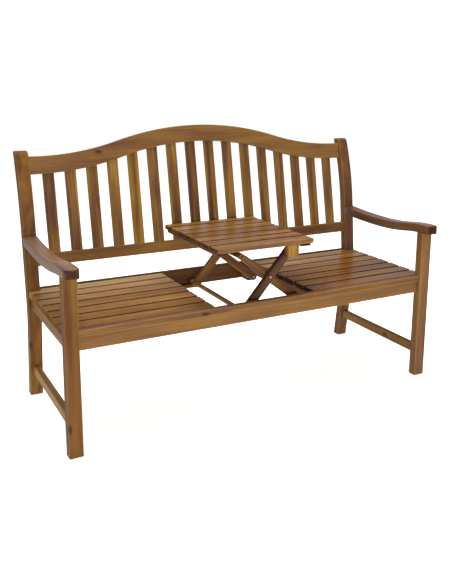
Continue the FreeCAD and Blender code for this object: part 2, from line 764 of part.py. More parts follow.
def make_leg(label, foot, head, tip, beyond, place_at, angle, holes):
    """Flat leg with a round foot, drawn from its foot pivot along to its head.

    tip is half the width of the head, to which the leg tapers over its last stretch, and
    beyond is how far it runs past the head pivot. place_at is where the foot pivot and the
    middle of the thickness stand.
    """
    body = new_body(label)
    sketch = start_sketch(body, "XZ_Plane", "side")
    half = "dims.leg_wide / 2"
    reach = f"({foot} + {head} + {beyond})"
    taper = f"({reach} - dims.leg_taper)"
    draw_outline(sketch, [
        ("0", f"-{half}"),
        (taper, f"-{half}"),
        (reach, f"-({tip})"),
        (reach, tip),
        (taper, half),
        ("0", half),
    ], {5: (half, 1)})
    pad(body, sketch, "dims.leg_thick", midplane=True)
    round_off(body, "dims.leg_tip_round",
         lambda middle, way: abs(way.y) > 0.99 and middle.x > number(reach) - NEAR)
    hole_sketch = start_sketch(body, "XZ_Plane", "holes")
    for distance, radius in holes:
        draw_circle(hole_sketch, (distance, "0"), radius)
    cut_through(body, hole_sketch)
    leg_half = number("dims.leg_thick / 2")
    tapered = number(tip) - number("dims.slat_ease")
    ease(body, "dims.leg_ease",
         lambda middle, way: abs(abs(middle.y) - leg_half) < NEAR and abs(middle.z) > tapered)
    place(body, *place_at, angle=f"-({angle})")
    return body


FIXED_HOLE = "dims.bolt_radius"
RUNNING_HOLE = "(dims.bolt_radius + dims.bolt_run)"

# Inner legs climb from their hinge at the right to the left; outer legs hang at the right.
INNER_REACH = "(dims.inner_leg_foot + dims.inner_leg_head)"
CROSS_ALONG = "(dims.hinge_along - dims.inner_leg_foot * cos(dims.inner_leg_angle))"
CROSS_UP = "(dims.hinge_height + dims.inner_leg_foot * sin(dims.inner_leg_angle))"
HEAD_ALONG = f"(dims.hinge_along - {INNER_REACH} * cos(dims.inner_leg_angle))"
HEAD_UP = f"(dims.hinge_height + {INNER_REACH} * sin(dims.inner_leg_angle))"
FOOT_ALONG = f"({CROSS_ALONG} - dims.outer_leg_foot * cos(dims.outer_leg_angle))"
FOOT_UP = f"({CROSS_UP} - dims.outer_leg_foot * sin(dims.outer_leg_angle))"
LUG_ALONG = f"({CROSS_ALONG} + dims.outer_leg_head * cos(dims.outer_leg_angle))"
LUG_UP = f"({CROSS_UP} + dims.outer_leg_head * sin(dims.outer_leg_angle))"
INNER_SIDE = "(dims.inner_leg_from_front + dims.leg_thick)"

for end, hand in FRONT_AND_REAR:
    inner_middle = from_table_end("dims.inner_leg_from_front + dims.leg_thick / 2", hand)
    make_leg(f"inner_leg_{end}", "dims.inner_leg_foot", "dims.inner_leg_head",
             "dims.tip_half", "dims.tip_half", ("dims.hinge_along", inner_middle, "dims.hinge_height"),
             "180 - dims.inner_leg_angle",
             [("0", RUNNING_HOLE), ("dims.inner_leg_foot", FIXED_HOLE),
              (INNER_REACH, "dims.rail_tenon_round")])
    outer_middle = from_table_end("dims.outer_leg_from_front + dims.leg_thick / 2", hand)
    make_leg(f"outer_leg_{end}", "dims.outer_leg_foot", "dims.outer_leg_head",
             "dims.leg_wide / 2", "dims.outer_leg_beyond", (FOOT_ALONG, outer_middle, FOOT_UP),
             "dims.outer_leg_angle",
             [("0", "dims.foot_bar_round"), ("dims.outer_leg_foot", RUNNING_HOLE),
              ("(dims.outer_leg_foot + dims.outer_leg_head)", RUNNING_HOLE)])

rail_low = INNER_SIDE
rail_high = from_table_end(INNER_SIDE, -1)
round_bar("cross_rail", [
    (rail_low, rail_high, "dims.cross_rail_round"),
    ("dims.inner_leg_from_front", from_table_end("dims.inner_leg_from_front", -1), "dims.rail_tenon_round"),
], HEAD_ALONG, HEAD_UP)
bar_low = "(dims.apron_from_front + dims.apron_thick + dims.foot_bar_gap)"
bar_high = "(dims.rear_rail_from_front - dims.foot_bar_gap)"
round_bar("foot_bar", [(bar_low, bar_high, "dims.foot_bar_round")], FOOT_ALONG, FOOT_UP)


def plain_body(name):
    """A body that is one member of a group."""
    return doc.addObject("PartDesign::Body", name)


def upright_plate(name, points, arcs, thickness, middle_from_front, holes):
    """A plate whose outline stands in the plane of the bench's length and height."""
    body = plain_body(name)
    sketch = start_sketch(body, "XZ_Plane", "side")
    draw_outline(sketch, points, arcs)
    pad(body, sketch, thickness, midplane=True)
    if holes:
        hole_sketch = start_sketch(body, "XZ_Plane", "holes")
        for centre, radius in holes:
            draw_circle(hole_sketch, centre, radius)
        cut_through(body, hole_sketch)
    place(body, "0", middle_from_front, "0")
    return body


def bolt(name, along, up, stretches):
    """A bolt along Y, turned from cylinders that each have two ends and a radius."""
    pieces = []
    for count, (low, high, radius) in enumerate(stretches):
        cylinder = doc.addObject("Part::Cylinder", f"{name}_{count}")
        near, far = (low, high) if number(low) < number(high) else (high, low)
        cylinder.setExpression("Radius", radius)
        cylinder.setExpression("Height", f"{far} - {near}")
        place(cylinder, along, near, up, "vector(1; 0; 0)", "-90")
        pieces.append(cylinder)
    if len(pieces) == 1:
        return pieces[0]
    fused = doc.addObject("Part::MultiFuse", name)
    fused.Shapes = pieces
    return fused


# Lugs under the table's right end, from which the outer legs hang.
lug_left = f"({LUG_ALONG} - dims.lug_wide / 2 + dims.lug_shift)"
lug_right = f"({LUG_ALONG} + dims.lug_wide / 2 + dims.lug_shift)"
lugs = []
for end, hand in FRONT_AND_REAR:
    lug = upright_plate(f"table_lug_{end}", [
        (lug_left, "dims.lug_low"),
        (lug_right, "dims.lug_low"),
        (lug_right, TABLE_UNDER),
        (lug_left, TABLE_UNDER),
    ], {}, "dims.lug_thick", from_table_end("dims.table_front + dims.lug_thick / 2", hand),
        [((LUG_ALONG, LUG_UP), FIXED_HOLE)])
    ease(lug, "dims.slat_ease", lambda middle, way: abs(way.z) > 0.99)
    lugs.append(lug)
grouped("table_lugs", lugs)

# Strips under the table slats, on which the cross rail slides; they lap under the batten.
STRIP_LOW = f"({HEAD_UP} + dims.cross_rail_round + dims.slide_gap)"
strips = []
for end, hand in FRONT_AND_REAR:
    strips.append(upright_plate(f"bearing_strip_{end}", [
        ("dims.strip_left", STRIP_LOW),
        ("dims.strip_right", STRIP_LOW),
        ("dims.strip_right", TABLE_UNDER),
        (BATTEN_LEFT, TABLE_UNDER),
        (BATTEN_LEFT, BATTEN_LOW),
        ("dims.strip_left", BATTEN_LOW),
    ], {}, "dims.strip_wide", from_table_end("dims.strip_from_front + dims.strip_wide / 2", hand), []))
grouped("bearing_strips", strips)

# Runners inside the apron and the rear rail carry the foot bar; their tops are dished.
RUNNER_TOP = f"({FOOT_UP} - dims.foot_bar_round - dims.slide_gap)"
LOW_FOOT_ALONG = "(dims.hinge_along - dims.inner_leg_foot - dims.outer_leg_foot)"
dish_right = f"({FOOT_ALONG} + dims.dish_spare)"
dish_left = f"({LOW_FOOT_ALONG} - dims.dish_spare)"
dish_half = f"(({dish_right} - {dish_left}) / 2)"
dish_radius = f"(({dish_half} ^ 2 + dims.runner_dish ^ 2) / (2 * dims.runner_dish))"
runners = []
for end, middle in (
    ("front", "(dims.apron_from_front + dims.apron_thick + dims.runner_wide / 2)"),
    ("rear", "(dims.rear_rail_from_front - dims.runner_wide / 2)"),
):
    runners.append(upright_plate(f"foot_runner_{end}", [
        ("dims.runner_left", f"{RUNNER_TOP} - dims.runner_tall"),
        ("dims.runner_right", f"{RUNNER_TOP} - dims.runner_tall"),
        ("dims.runner_right", RUNNER_TOP),
        (dish_right, RUNNER_TOP),
        (dish_left, RUNNER_TOP),
        ("dims.runner_left", RUNNER_TOP),
    ], {3: (dish_radius, -1)}, "dims.runner_wide", middle, []))
grouped("foot_runners", runners)

# Blocks that stand the hinge of the inner legs off the apron and off the rear rail.
blocks = []
hinge_bolts = []
apron_back = "(dims.apron_from_front + dims.apron_thick)"
rear_leg_back = from_table_end("dims.inner_leg_from_front", -1)
for end, low, high in (
    ("front", apron_back, "(dims.inner_leg_from_front - dims.slide_gap)"),
    ("rear", f"({rear_leg_back} + dims.slide_gap)", "dims.rear_rail_from_front"),
):
    blocks.append(upright_plate(f"hinge_block_{end}", [
        ("(dims.hinge_along - dims.block_wide / 2)", "dims.block_low"),
        ("(dims.hinge_along + dims.block_wide / 2)", "dims.block_low"),
        ("(dims.hinge_along + dims.block_wide / 2)", "dims.block_top"),
        ("(dims.hinge_along - dims.block_wide / 2)", "dims.block_top"),
    ], {}, f"({high} - {low})", f"(({high} + {low}) / 2)",
        [(("dims.hinge_along", "dims.hinge_height"), FIXED_HOLE)]))
grouped("hinge_blocks", blocks)

for end, hand, root in (("front", 1, apron_back), ("rear", -1, "dims.rear_rail_from_front")):
    head_seat = from_table_end(f"{INNER_SIDE} + dims.slide_gap", hand)
    head_end = from_table_end(f"{INNER_SIDE} + dims.slide_gap + dims.head_thick", hand)
    hinge_bolts.append(bolt(f"foot_hinge_bolt_{end}", "dims.hinge_along", "dims.hinge_height", [
        (root, head_seat, "dims.bolt_radius"),
        (head_seat, head_end, "dims.head_radius"),
    ]))
grouped("foot_hinge_bolts", hinge_bolts)

crossing_bolts = []
lug_pins = []
for end, hand in FRONT_AND_REAR:
    head_seat = from_table_end("dims.outer_leg_from_front - dims.slide_gap", hand)
    head_end = from_table_end("dims.outer_leg_from_front - dims.slide_gap - dims.head_thick", hand)
    cap_seat = from_table_end(INNER_SIDE, hand)
    cap_end = from_table_end(f"{INNER_SIDE} + dims.head_thick", hand)
    crossing_bolts.append(bolt(f"crossing_bolt_{end}", CROSS_ALONG, CROSS_UP, [
        (head_end, head_seat, "dims.head_radius"),
        (head_seat, cap_seat, "dims.bolt_radius"),
        (cap_seat, cap_end, "dims.head_radius"),
    ]))
    lug_pins.append(bolt(f"lug_pin_{end}", LUG_ALONG, LUG_UP, [
        (from_table_end("dims.table_front + dims.pin_inset", hand),
         from_table_end("dims.outer_leg_from_front + dims.leg_thick - dims.slide_gap", hand),
         "dims.bolt_radius"),
    ]))
grouped("crossing_bolts", crossing_bolts)
grouped("lug_pins", lug_pins)

doc.recompute()

# Every object has to be sound before anything is written.
for item in doc.Objects:
    if any(word in ("Invalid", "Error") for word in item.State):
        raise RuntimeError(f"{item.Label}: {item.State}")

os.makedirs("parts", exist_ok=True)
for sub_part in SUB_PARTS:
    shape = sub_part.Shape
    if shape.isNull() or not shape.isValid() or not shape.Solids:
        raise RuntimeError(f"{sub_part.Label}: no sound solid")
    shape.exportStep(os.path.join("parts", f"{sub_part.Label}.step"))

whole = FreeCAD.BoundBox()
for sub_part in SUB_PARTS:
    whole.add(sub_part.Shape.BoundBox)
print(f"{len(SUB_PARTS)} sub-parts, {whole}")
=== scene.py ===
"""Companion seat bench in oiled acacia: two slatted seats with a folding table between them.

X runs along the bench, Y from front to back and Z up, in metres. The origin is on the
ground, under the middle of the bench.
"""

import logging
import math
import random
from collections.abc import Callable, Sequence
from dataclasses import dataclass, field
from enum import Enum

import bpy
from bpy.types import ColorRamp, Material, Node, NodeSocket, NodeTree, Object
from mathutils import Matrix, Vector

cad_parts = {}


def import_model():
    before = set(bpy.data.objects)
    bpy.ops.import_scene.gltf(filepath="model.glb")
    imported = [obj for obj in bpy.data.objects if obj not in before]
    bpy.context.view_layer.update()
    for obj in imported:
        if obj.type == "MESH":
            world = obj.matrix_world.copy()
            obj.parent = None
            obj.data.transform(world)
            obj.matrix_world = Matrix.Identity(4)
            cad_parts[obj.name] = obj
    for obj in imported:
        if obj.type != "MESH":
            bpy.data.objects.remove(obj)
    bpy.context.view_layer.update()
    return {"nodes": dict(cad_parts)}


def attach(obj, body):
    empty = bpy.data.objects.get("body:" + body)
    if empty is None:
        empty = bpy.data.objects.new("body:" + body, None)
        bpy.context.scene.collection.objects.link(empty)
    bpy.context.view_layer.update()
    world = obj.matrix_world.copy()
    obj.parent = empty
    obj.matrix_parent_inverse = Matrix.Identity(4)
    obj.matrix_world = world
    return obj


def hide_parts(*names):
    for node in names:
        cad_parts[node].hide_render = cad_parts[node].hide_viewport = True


LOG = logging.getLogger("bench")
FRONT_FACE = -0.3038  # Y of the front faces of the front posts
SMALL_STEP = 0.0045  # a small rounding has shorter steps than this
NEAR = 1e-5  # places closer than this are the same
NO_KNOT = (50.0, 50.0, 50.0)  # a place far away from every board
MM_PER_METRE = 1000
MM_PER_RING = 314  # a ring pattern at scale 1 repeats after this many millimetres
CLOSED = 0.0001  # radius that closes the end of a turned piece
FINE_STEPS = 6  # steps round a corner that shows
GAP_SHADES = ((0.3, 1.0), (0.7, 0.6))  # painted shade: up to these parts of a rounding a gap's side is so dark

Point = tuple[float, float]
Triple = tuple[float, float, float]
Ring = list[Vector]
Input = NodeSocket | float | Triple  # what a node's input takes


class Slot(Enum):
    """Material slots of the part."""

    FRAME = "frame"
    SEAT = "seat_slats"
    BACK = "back"
    TABLE = "table"
    SCISSOR = "scissor"
    STEEL = "steel"


class Body(Enum):
    """Bodies that the pieces move with."""

    BENCH = "bench"
    INNER_LEGS = "inner_legs"
    OUTER_LEGS = "outer_legs"
    TABLE = "table"


class Side(Enum):
    """The two ends of the bench; the value is the sign of X."""

    LEFT = -1
    RIGHT = 1

    @property
    def word(self) -> str:
        """The side's name as used in the pieces' names."""
        return self.name.lower()


def linear(code: str) -> tuple[float, float, float, float]:
    """Turns an sRGB hex colour to linear light.

    Args:
        code: The colour, such as "#8A5A2C".

    Returns:
        Red, green, blue and an alpha of 1.
    """
    shares = [int(code[i : i + 2], 16) / 255 for i in (1, 3, 5)]
    red, green, blue = (c / 12.92 if c <= 0.04045 else ((c + 0.055) / 1.055) ** 2.4 for c in shares)
    return (red, green, blue, 1.0)


def set_stops(ramp: ColorRamp, stops: Sequence[tuple[float, str | float]]) -> None:
    """Gives a colour ramp its stops.

    Args:
        ramp: The colour ramp.
        stops: Place and colour, or place and grey, of each stop.
    """
    while len(ramp.elements) < len(stops):
        ramp.elements.new(0.5)
    for element, (place, colour) in zip(ramp.elements, stops):
        element.position = place
        element.color = linear(colour) if isinstance(colour, str) else (colour, colour, colour, 1.0)


def add_node(
    tree: NodeTree,
    kind: str,
    settings: dict[str, object] | None = None,
    links: dict[str | int, Input] | None = None,
) -> Node:
    """Adds a shader node, sets it up and joins its inputs.

    Args:
        tree: The node tree.
        kind: The shader node's type, such as "TexNoise".
        settings: Properties of the node by name; "stops" are those of its colour ramp.
        links: Inputs by name or number: an output to join, or a value to set.

    Returns:
        The new node.
    """
    node = tree.nodes.new(f"ShaderNode{kind}")
    for name, value in (settings or {}).items():
        if name == "stops":
            set_stops(node.color_ramp, value)
        else:
            setattr(node, name, value)
    for name, value in (links or {}).items():
        if isinstance(value, NodeSocket):
            tree.links.new(value, node.inputs[name])
        else:
            node.inputs[name].default_value = value
    return node


def blank(name: str) -> tuple[Material, NodeTree, Node]:
    """Starts a material.

    Args:
        name: Its name.

    Returns:
        The material, its nodes and its shader.
    """
    made = bpy.data.materials.new(name)
    made.use_nodes = True
    return made, made.node_tree, made.node_tree.nodes["Principled BSDF"]


@dataclass(frozen=True)
class OiledAcacia:
    """Acacia, planed, with eased edges and an oil finish.

    To the eye: golden to chocolate brown bands that run with the grain, each board with a
    tone of its own, a soft satin sheen, painted highlights on rounded edges and painted gap shade.
    """

    name: str
    pale: str = "#AD853B"
    golden: str = "#886122"
    brown: str = "#67421D"
    dark: str = "#3F2513"
    places: tuple[float, ...] = (0.25, 0.44, 0.60, 0.80)  # where these four lie in the bands
    late: str = "#A98C72"  # tint of the dark part of a growth ring
    fibre: str = "#A88A70"  # tint of a dark fibre
    bloom: str = "#00192C"  # light scattered in the oil, added to the wood's own colour
    edge: str = "#AC8A58"  # painted highlight: rounded edges drawn paler
    end: str = "#8C8090"  # tint of end grain, which drinks more oil; also painted shade on ends that lie in shade
    gap_side: str = "#947459"  # tint of the sides in narrow gaps: painted shade
    heart: str = "#2E1A10"  # middle of a knot
    ring_mm: float = 11.0  # growth rings of fast-grown acacia
    band_mm: float = 30.0  # heartwood bands across the board
    patch_mm: float = 90.0  # lighter and darker stretches along the board
    fibre_mm: float = 2.6  # real fibres are about 0.3 mm, drawn coarse enough to show
    stretch: float = 16.0  # length of a streak over its width
    patch_stretch: float = 4.0  # the same for the patches
    patch_share: float = 0.42  # strength of the patches against the bands
    roughness: float = 0.5  # thin oil; typical of oiled hardwood 0.3 to 0.6
    swing: Point = (0.1, -0.08)  # change of roughness between the fibres and on them
    ior: float = 1.46
    shine: float = 0.06  # open pores break up most of the reflection
    pore_deep: float = 0.0004
    relief: float = 0.35  # strength of the pores' relief
    detail: float = 2.0  # how finely the bands are drawn
    contrast: float = 0.62  # how far its light and dark bands lie apart
    tone_step: float = 0.2  # how far a tone of 1 moves the colour along the bands
    rings: float = 0.2  # strength of the growth rings
    fibres: float = 0.22  # strength of the fibres
    rim: float = 0.32  # strength of the painted highlight on rounded edges
    offset: float = 0.2  # distance from the tree's heart of a piece without grain coordinates

    def material(
        self, turn: float | None = None, tone: float = 0.0, rosiness: float = 0.3
    ) -> Material:
        """Builds the material.

        Args:
            turn: For a piece without grain coordinates of its own, the angle in degrees by
                which its grain leaves X, turned about Y. None reads the piece's own.
            tone: Lightness of such a piece, from -1 to 1.
            rosiness: How pink such a piece is, from 0 to 1.

        Returns:
            The material.
        """
        label = self.name if turn is None else f"{self.name}, grain at {turn:.0f} degrees, {tone:+.1f}"
        made, tree, shader = blank(label)
        grain, light, pink, thirst, knot = self._coordinates(tree, turn, tone, rosiness)
        colour, rings, fibres, relief = self._figure(tree, grain, light)
        rim, end, shade = (
            add_node(tree, "Attribute", {"attribute_name": name}).outputs["Fac"]
            for name in ("rim", "end", "shade")
        )
        worn, end_darkness = (
            add_node(tree, "Math", {"operation": "MULTIPLY"}, {0: mark, 1: amount}).outputs[0]
            for mark, amount in ((rim, self.rim), (end, thirst))
        )
        # Layers over the bands: rings, fibres, the board's pink, a painted highlight on rounded edges,
        # darker end grain that is partly painted shade, painted shade in narrow gaps, and knots.
        layers = (
            (rings, "MULTIPLY", self.late),
            (fibres, "MULTIPLY", self.fibre),
            (pink, "ADD", self.bloom),
            (worn, "MIX", self.edge),
            (end_darkness, "MULTIPLY", self.end),
            (shade, "MULTIPLY", self.gap_side),
            (self._knot(tree, grain, knot), "MIX", self.heart),
        )
        for share, way, tint in layers:
            colour = add_node(
                tree, "Mix", {"data_type": "RGBA", "blend_type": way},
                {"Factor": share, 6: colour, 7: linear(tint)},
            ).outputs[2]
        tree.links.new(colour, shader.inputs["Base Color"])
        # Fibres glint a little, end grain is dull.
        low, high = (self.roughness + change for change in self.swing)
        gloss = add_node(tree, "MapRange", None, {"Value": relief, "To Min": low, "To Max": high}).outputs[0]
        dull = add_node(tree, "Math", {"operation": "ADD", "use_clamp": True}, {0: gloss, 1: end})
        tree.links.new(dull.outputs[0], shader.inputs["Roughness"])
        pores = {"Strength": self.relief, "Distance": self.pore_deep, "Height": relief}
        tree.links.new(add_node(tree, "Bump", None, pores).outputs[0], shader.inputs["Normal"])
        shader.inputs["IOR"].default_value = self.ior
        shader.inputs["Specular IOR Level"].default_value = self.shine
        return made

    def _coordinates(
        self, tree: NodeTree, turn: float | None, tone: float, rosiness: float
    ) -> tuple[Input, Input, Input, Input, Input]:
        """Finds the grain's coordinates and the board's character.

        Args:
            tree: The material's nodes.
            turn: As in material.
            tone: As in material.
            rosiness: As in material.

        Returns:
            Grain coordinates, lightness, pinkness, how dark the ends are and the knot's place.
        """
        if turn is not None:
            place = add_node(tree, "TexCoord").outputs["Object"]
            # The tone also shifts the grain, so that two pieces of one finish differ in figure.
            turned = {
                "Vector": place,
                "Rotation": (0.0, math.radians(turn), 0.0),
                "Location": (0.0, tone, self.offset + tone),
            }
            grain = add_node(tree, "Mapping", None, turned).outputs[0]
            return grain, tone, rosiness, 0.0, NO_KNOT
        grain, character, knot = (
            add_node(tree, "Attribute", {"attribute_name": name}).outputs["Vector"]
            for name in ("grain", "character", "knot")
        )
        light, pink, thirst = add_node(tree, "SeparateXYZ", None, {"Vector": character}).outputs
        return grain, light, pink, thirst, knot

    def _figure(
        self, tree: NodeTree, grain: NodeSocket, light: Input
    ) -> tuple[NodeSocket, NodeSocket, NodeSocket, NodeSocket]:
        """Draws bands, growth rings and fibres that run with the grain.

        Args:
            tree: The material's nodes.
            grain: Grain coordinates.
            light: The board's lightness.

        Returns:
            The bands' colour, the shares of the rings and of the dark fibres, and the fibres' height.
        """
        along, patched = (
            add_node(tree, "Mapping", None, {"Vector": grain, "Scale": (1 / length, 1.0, 1.0)}).outputs[0]
            for length in (self.stretch, self.patch_stretch)
        )
        # Coordinates, size in millimetres, detail, roughness and distortion of each noise.
        noises = (
            (along, self.band_mm, self.detail, 0.5, 0.6),
            (along, self.fibre_mm, 3.0, 0.7, 0.2),
            (patched, self.patch_mm, 2.0, 0.5, 0.3),
        )
        bands, fibres, patches = (
            add_node(
                tree, "TexNoise", None,
                {
                    "Vector": way, "Scale": MM_PER_METRE / size, "Detail": detail,
                    "Roughness": rough, "Distortion": bend,
                },
            ).outputs["Fac"]
            for way, size, detail, rough, bend in noises
        )
        rings = add_node(
            tree, "TexWave", {"wave_type": "RINGS", "rings_direction": "X", "wave_profile": "SIN"},
            {
                "Vector": along, "Scale": MM_PER_RING / self.ring_mm, "Distortion": 11.0,
                "Detail": 3.0, "Detail Scale": 0.9, "Detail Roughness": 0.6,
            },
        ).outputs["Fac"]
        both = add_node(
            tree, "Mix", {"data_type": "FLOAT"}, {"Factor": self.patch_share, "A": bands, "B": patches}
        ).outputs["Result"]
        sums = {"operation": "MULTIPLY_ADD"}
        calmed = add_node(tree, "Math", sums, {0: both, 1: self.contrast, 2: 0.5 - 0.5 * self.contrast})
        toned = add_node(tree, "Math", sums, {0: light, 1: -self.tone_step, 2: calmed.outputs[0]})
        ramps = (
            (toned.outputs[0], list(zip(self.places, (self.pale, self.golden, self.brown, self.dark)))),
            (rings, [(0.5, 0.0), (0.95, self.rings)]),
            (fibres, [(0.38, self.fibres), (0.62, 0.0)]),
        )
        colour, ring_share, fibre_share = (
            add_node(tree, "ValToRGB", {"stops": stops}, {"Fac": value}).outputs["Color"]
            for value, stops in ramps
        )
        return colour, ring_share, fibre_share, fibres

    def _knot(self, tree: NodeTree, grain: NodeSocket, knot: Input) -> NodeSocket:
        """Draws a knot with a dark heart and a brown halo, drawn out along the grain.

        Args:
            tree: The material's nodes.
            grain: Grain coordinates.
            knot: The knot's place in them.

        Returns:
            The knot's share of the colour.
        """
        away = add_node(tree, "VectorMath", {"operation": "SUBTRACT"}, {0: grain, 1: knot}).outputs[0]
        # A knot here is about 14 mm across and its halo 25 by 55 mm.
        shaped = add_node(tree, "Mapping", None, {"Vector": away, "Scale": (32.0, 64.0, 64.0)}).outputs[0]
        wobble = add_node(tree, "TexNoise", None, {"Vector": shaped, "Scale": 1.2, "Detail": 2.0})
        length = add_node(tree, "VectorMath", {"operation": "LENGTH"}, {0: shaped}).outputs["Value"]
        reach = add_node(
            tree, "Math", {"operation": "MULTIPLY_ADD"}, {0: wobble.outputs["Fac"], 1: 0.6, 2: length}
        ).outputs[0]
        stops = [(0.5, 0.75), (0.78, 0.35), (1.0, 0.0)]
        return add_node(tree, "ValToRGB", {"stops": stops}, {"Fac": reach}).outputs["Color"]


@dataclass(frozen=True)
class ZincPlatedSteel:
    """Bolt steel, turned and zinc plated: pale and warm, with fine turning marks that catch light."""

    name: str = "steel, turned and zinc plated"
    colour: str = "#B9A682"
    low: str = "#9A8562"
    roughness: float = 0.34
    swing: Point = (-0.08, 0.12)  # change of roughness between the marks and on them
    mark_mm: float = 0.8  # turning marks are finer; drawn coarse enough to show

    def material(self) -> Material:
        """Builds the material.

        Returns:
            The material.
        """
        made, tree, shader = blank(self.name)
        place = add_node(tree, "TexCoord").outputs["Object"]
        marks = add_node(
            tree, "TexNoise", None, {"Vector": place, "Scale": MM_PER_METRE / self.mark_mm, "Detail": 2.0}
        ).outputs["Fac"]
        stops = [(0.3, self.low), (0.7, self.colour)]
        colour = add_node(tree, "ValToRGB", {"stops": stops}, {"Fac": marks}).outputs["Color"]
        tree.links.new(colour, shader.inputs["Base Color"])
        low, high = (self.roughness + change for change in self.swing)
        gloss = add_node(tree, "MapRange", None, {"Value": marks, "To Min": low, "To Max": high}).outputs[0]
        tree.links.new(gloss, shader.inputs["Roughness"])
        shader.inputs["Metallic"].default_value = 1.0
        return made


@dataclass(frozen=True)
class StudioPaper:
    """Seamless paper, matt white, with a painted glow for the light around it, dimmed on its left as a
    painted shadow.
    """

    name: str = "seamless studio paper, matt"
    colour: str = "#F4F4F2"
    roughness: float = 0.9
    glow: Point = (0.79, 0.85)  # painted glow for light from lamps outside the set, near the bench and far behind it
    back: Point = (0.3, 3.0)  # Y of these two places
    dim: float = 0.1  # share of the glow on the paper's left part: a painted shadow, as of a flag
    edge: Point = (-1.25, -0.95)  # X at which the painted shadow ends and the full glow begins
    slant: float = 0.186  # the painted shadow's edge runs back at 10.5 degrees from the Y axis

    def material(self) -> Material:
        """Builds the material.

        Returns:
            The material.
        """
        made, tree, shader = blank(self.name)
        shader.inputs["Base Color"].default_value = linear(self.colour)
        shader.inputs["Roughness"].default_value = self.roughness
        shader.inputs["Emission Color"].default_value = linear(self.colour)
        place = add_node(tree, "TexCoord").outputs["Object"]
        across = add_node(
            tree, "VectorMath", {"operation": "DOT_PRODUCT"}, {0: place, 1: (1.0, -self.slant, 0.0)}
        ).outputs["Value"]
        back = add_node(tree, "SeparateXYZ", None, {"Vector": place}).outputs["Y"]
        share, level = (
            add_node(
                tree, "MapRange", None,
                {"Value": way, "From Min": start, "From Max": stop, "To Min": low, "To Max": high},
            ).outputs[0]
            for way, (start, stop), (low, high) in (
                (across, self.edge, (self.dim, 1.0)),
                (back, self.back, self.glow),
            )
        )
        # Painted light: the paper glows, less on its left part as a painted shadow.
        glow = add_node(tree, "Math", {"operation": "MULTIPLY"}, {0: share, 1: level}).outputs[0]
        tree.links.new(glow, shader.inputs["Emission Strength"])
        return made


FRAME_WOOD = OiledAcacia("oiled acacia, planed, frame stock")
SEAT_WOOD = OiledAcacia(
    "oiled acacia, planed, seat slats", golden="#875D1A", brown="#694119",
    roughness=0.27, shine=0.1, detail=4.0, contrast=0.8, rings=0.35,
)
ARM_WOOD = OiledAcacia(
    "oiled acacia, planed, arms, rubbed to a sheen",
    roughness=0.36, shine=0.24, contrast=0.7, rings=0.15, rim=0.0,
)
BACK_WOOD = OiledAcacia(
    "oiled acacia, planed, back slats", band_mm=26.0, detail=3.0, contrast=1.1, rings=0.35
)
TABLE_WOOD = OiledAcacia(
    "oiled acacia, planed, table top", golden="#845B1C", brown="#653F18",
    roughness=0.34, shine=0.12, detail=4.0, contrast=1.0, rings=0.35,
)
SCISSOR_WOOD = OiledAcacia(
    "oiled acacia, planed, table legs", band_mm=24.0, ring_mm=6.0, detail=3.0, contrast=0.9
)
BOLT_STEEL = ZincPlatedSteel()
PIN_STEEL = ZincPlatedSteel(
    "steel, turned and wiped with the wood's oil", "#9A6E38", "#8A6030", roughness=0.5
)


@dataclass(frozen=True)
class Stock:
    """What a piece is made of, the material slot it takes and the body it moves with."""

    wood: OiledAcacia | ZincPlatedSteel
    slot: Slot
    body: Body = Body.BENCH


FRAME = Stock(FRAME_WOOD, Slot.FRAME)
TABLE = Stock(TABLE_WOOD, Slot.TABLE, Body.TABLE)


@dataclass(frozen=True)
class Character:
    """What sets one board apart from the next."""

    tone: float  # lightness, from -1 to 1; on some boards partly painted shade, on others painted sheen
    rosiness: float
    knot: Triple | None = None  # along X, back from the front face, up
    thirst: float = 0.1  # how much darker its end grain is, from 0 to 1: oil, and painted shade where set high for ends in shade
    worn: float = 1.0  # strength of its painted edge highlight, from 0 to 1


def row(stem: str, looks: Sequence[tuple[object, ...]], thirst: float = 0.1) -> dict[str, Character]:
    """The characters of a row of slats, numbered from 1."""
    return {f"{stem}_{index}": Character(*look, thirst=thirst) for index, look in enumerate(looks, 1)}


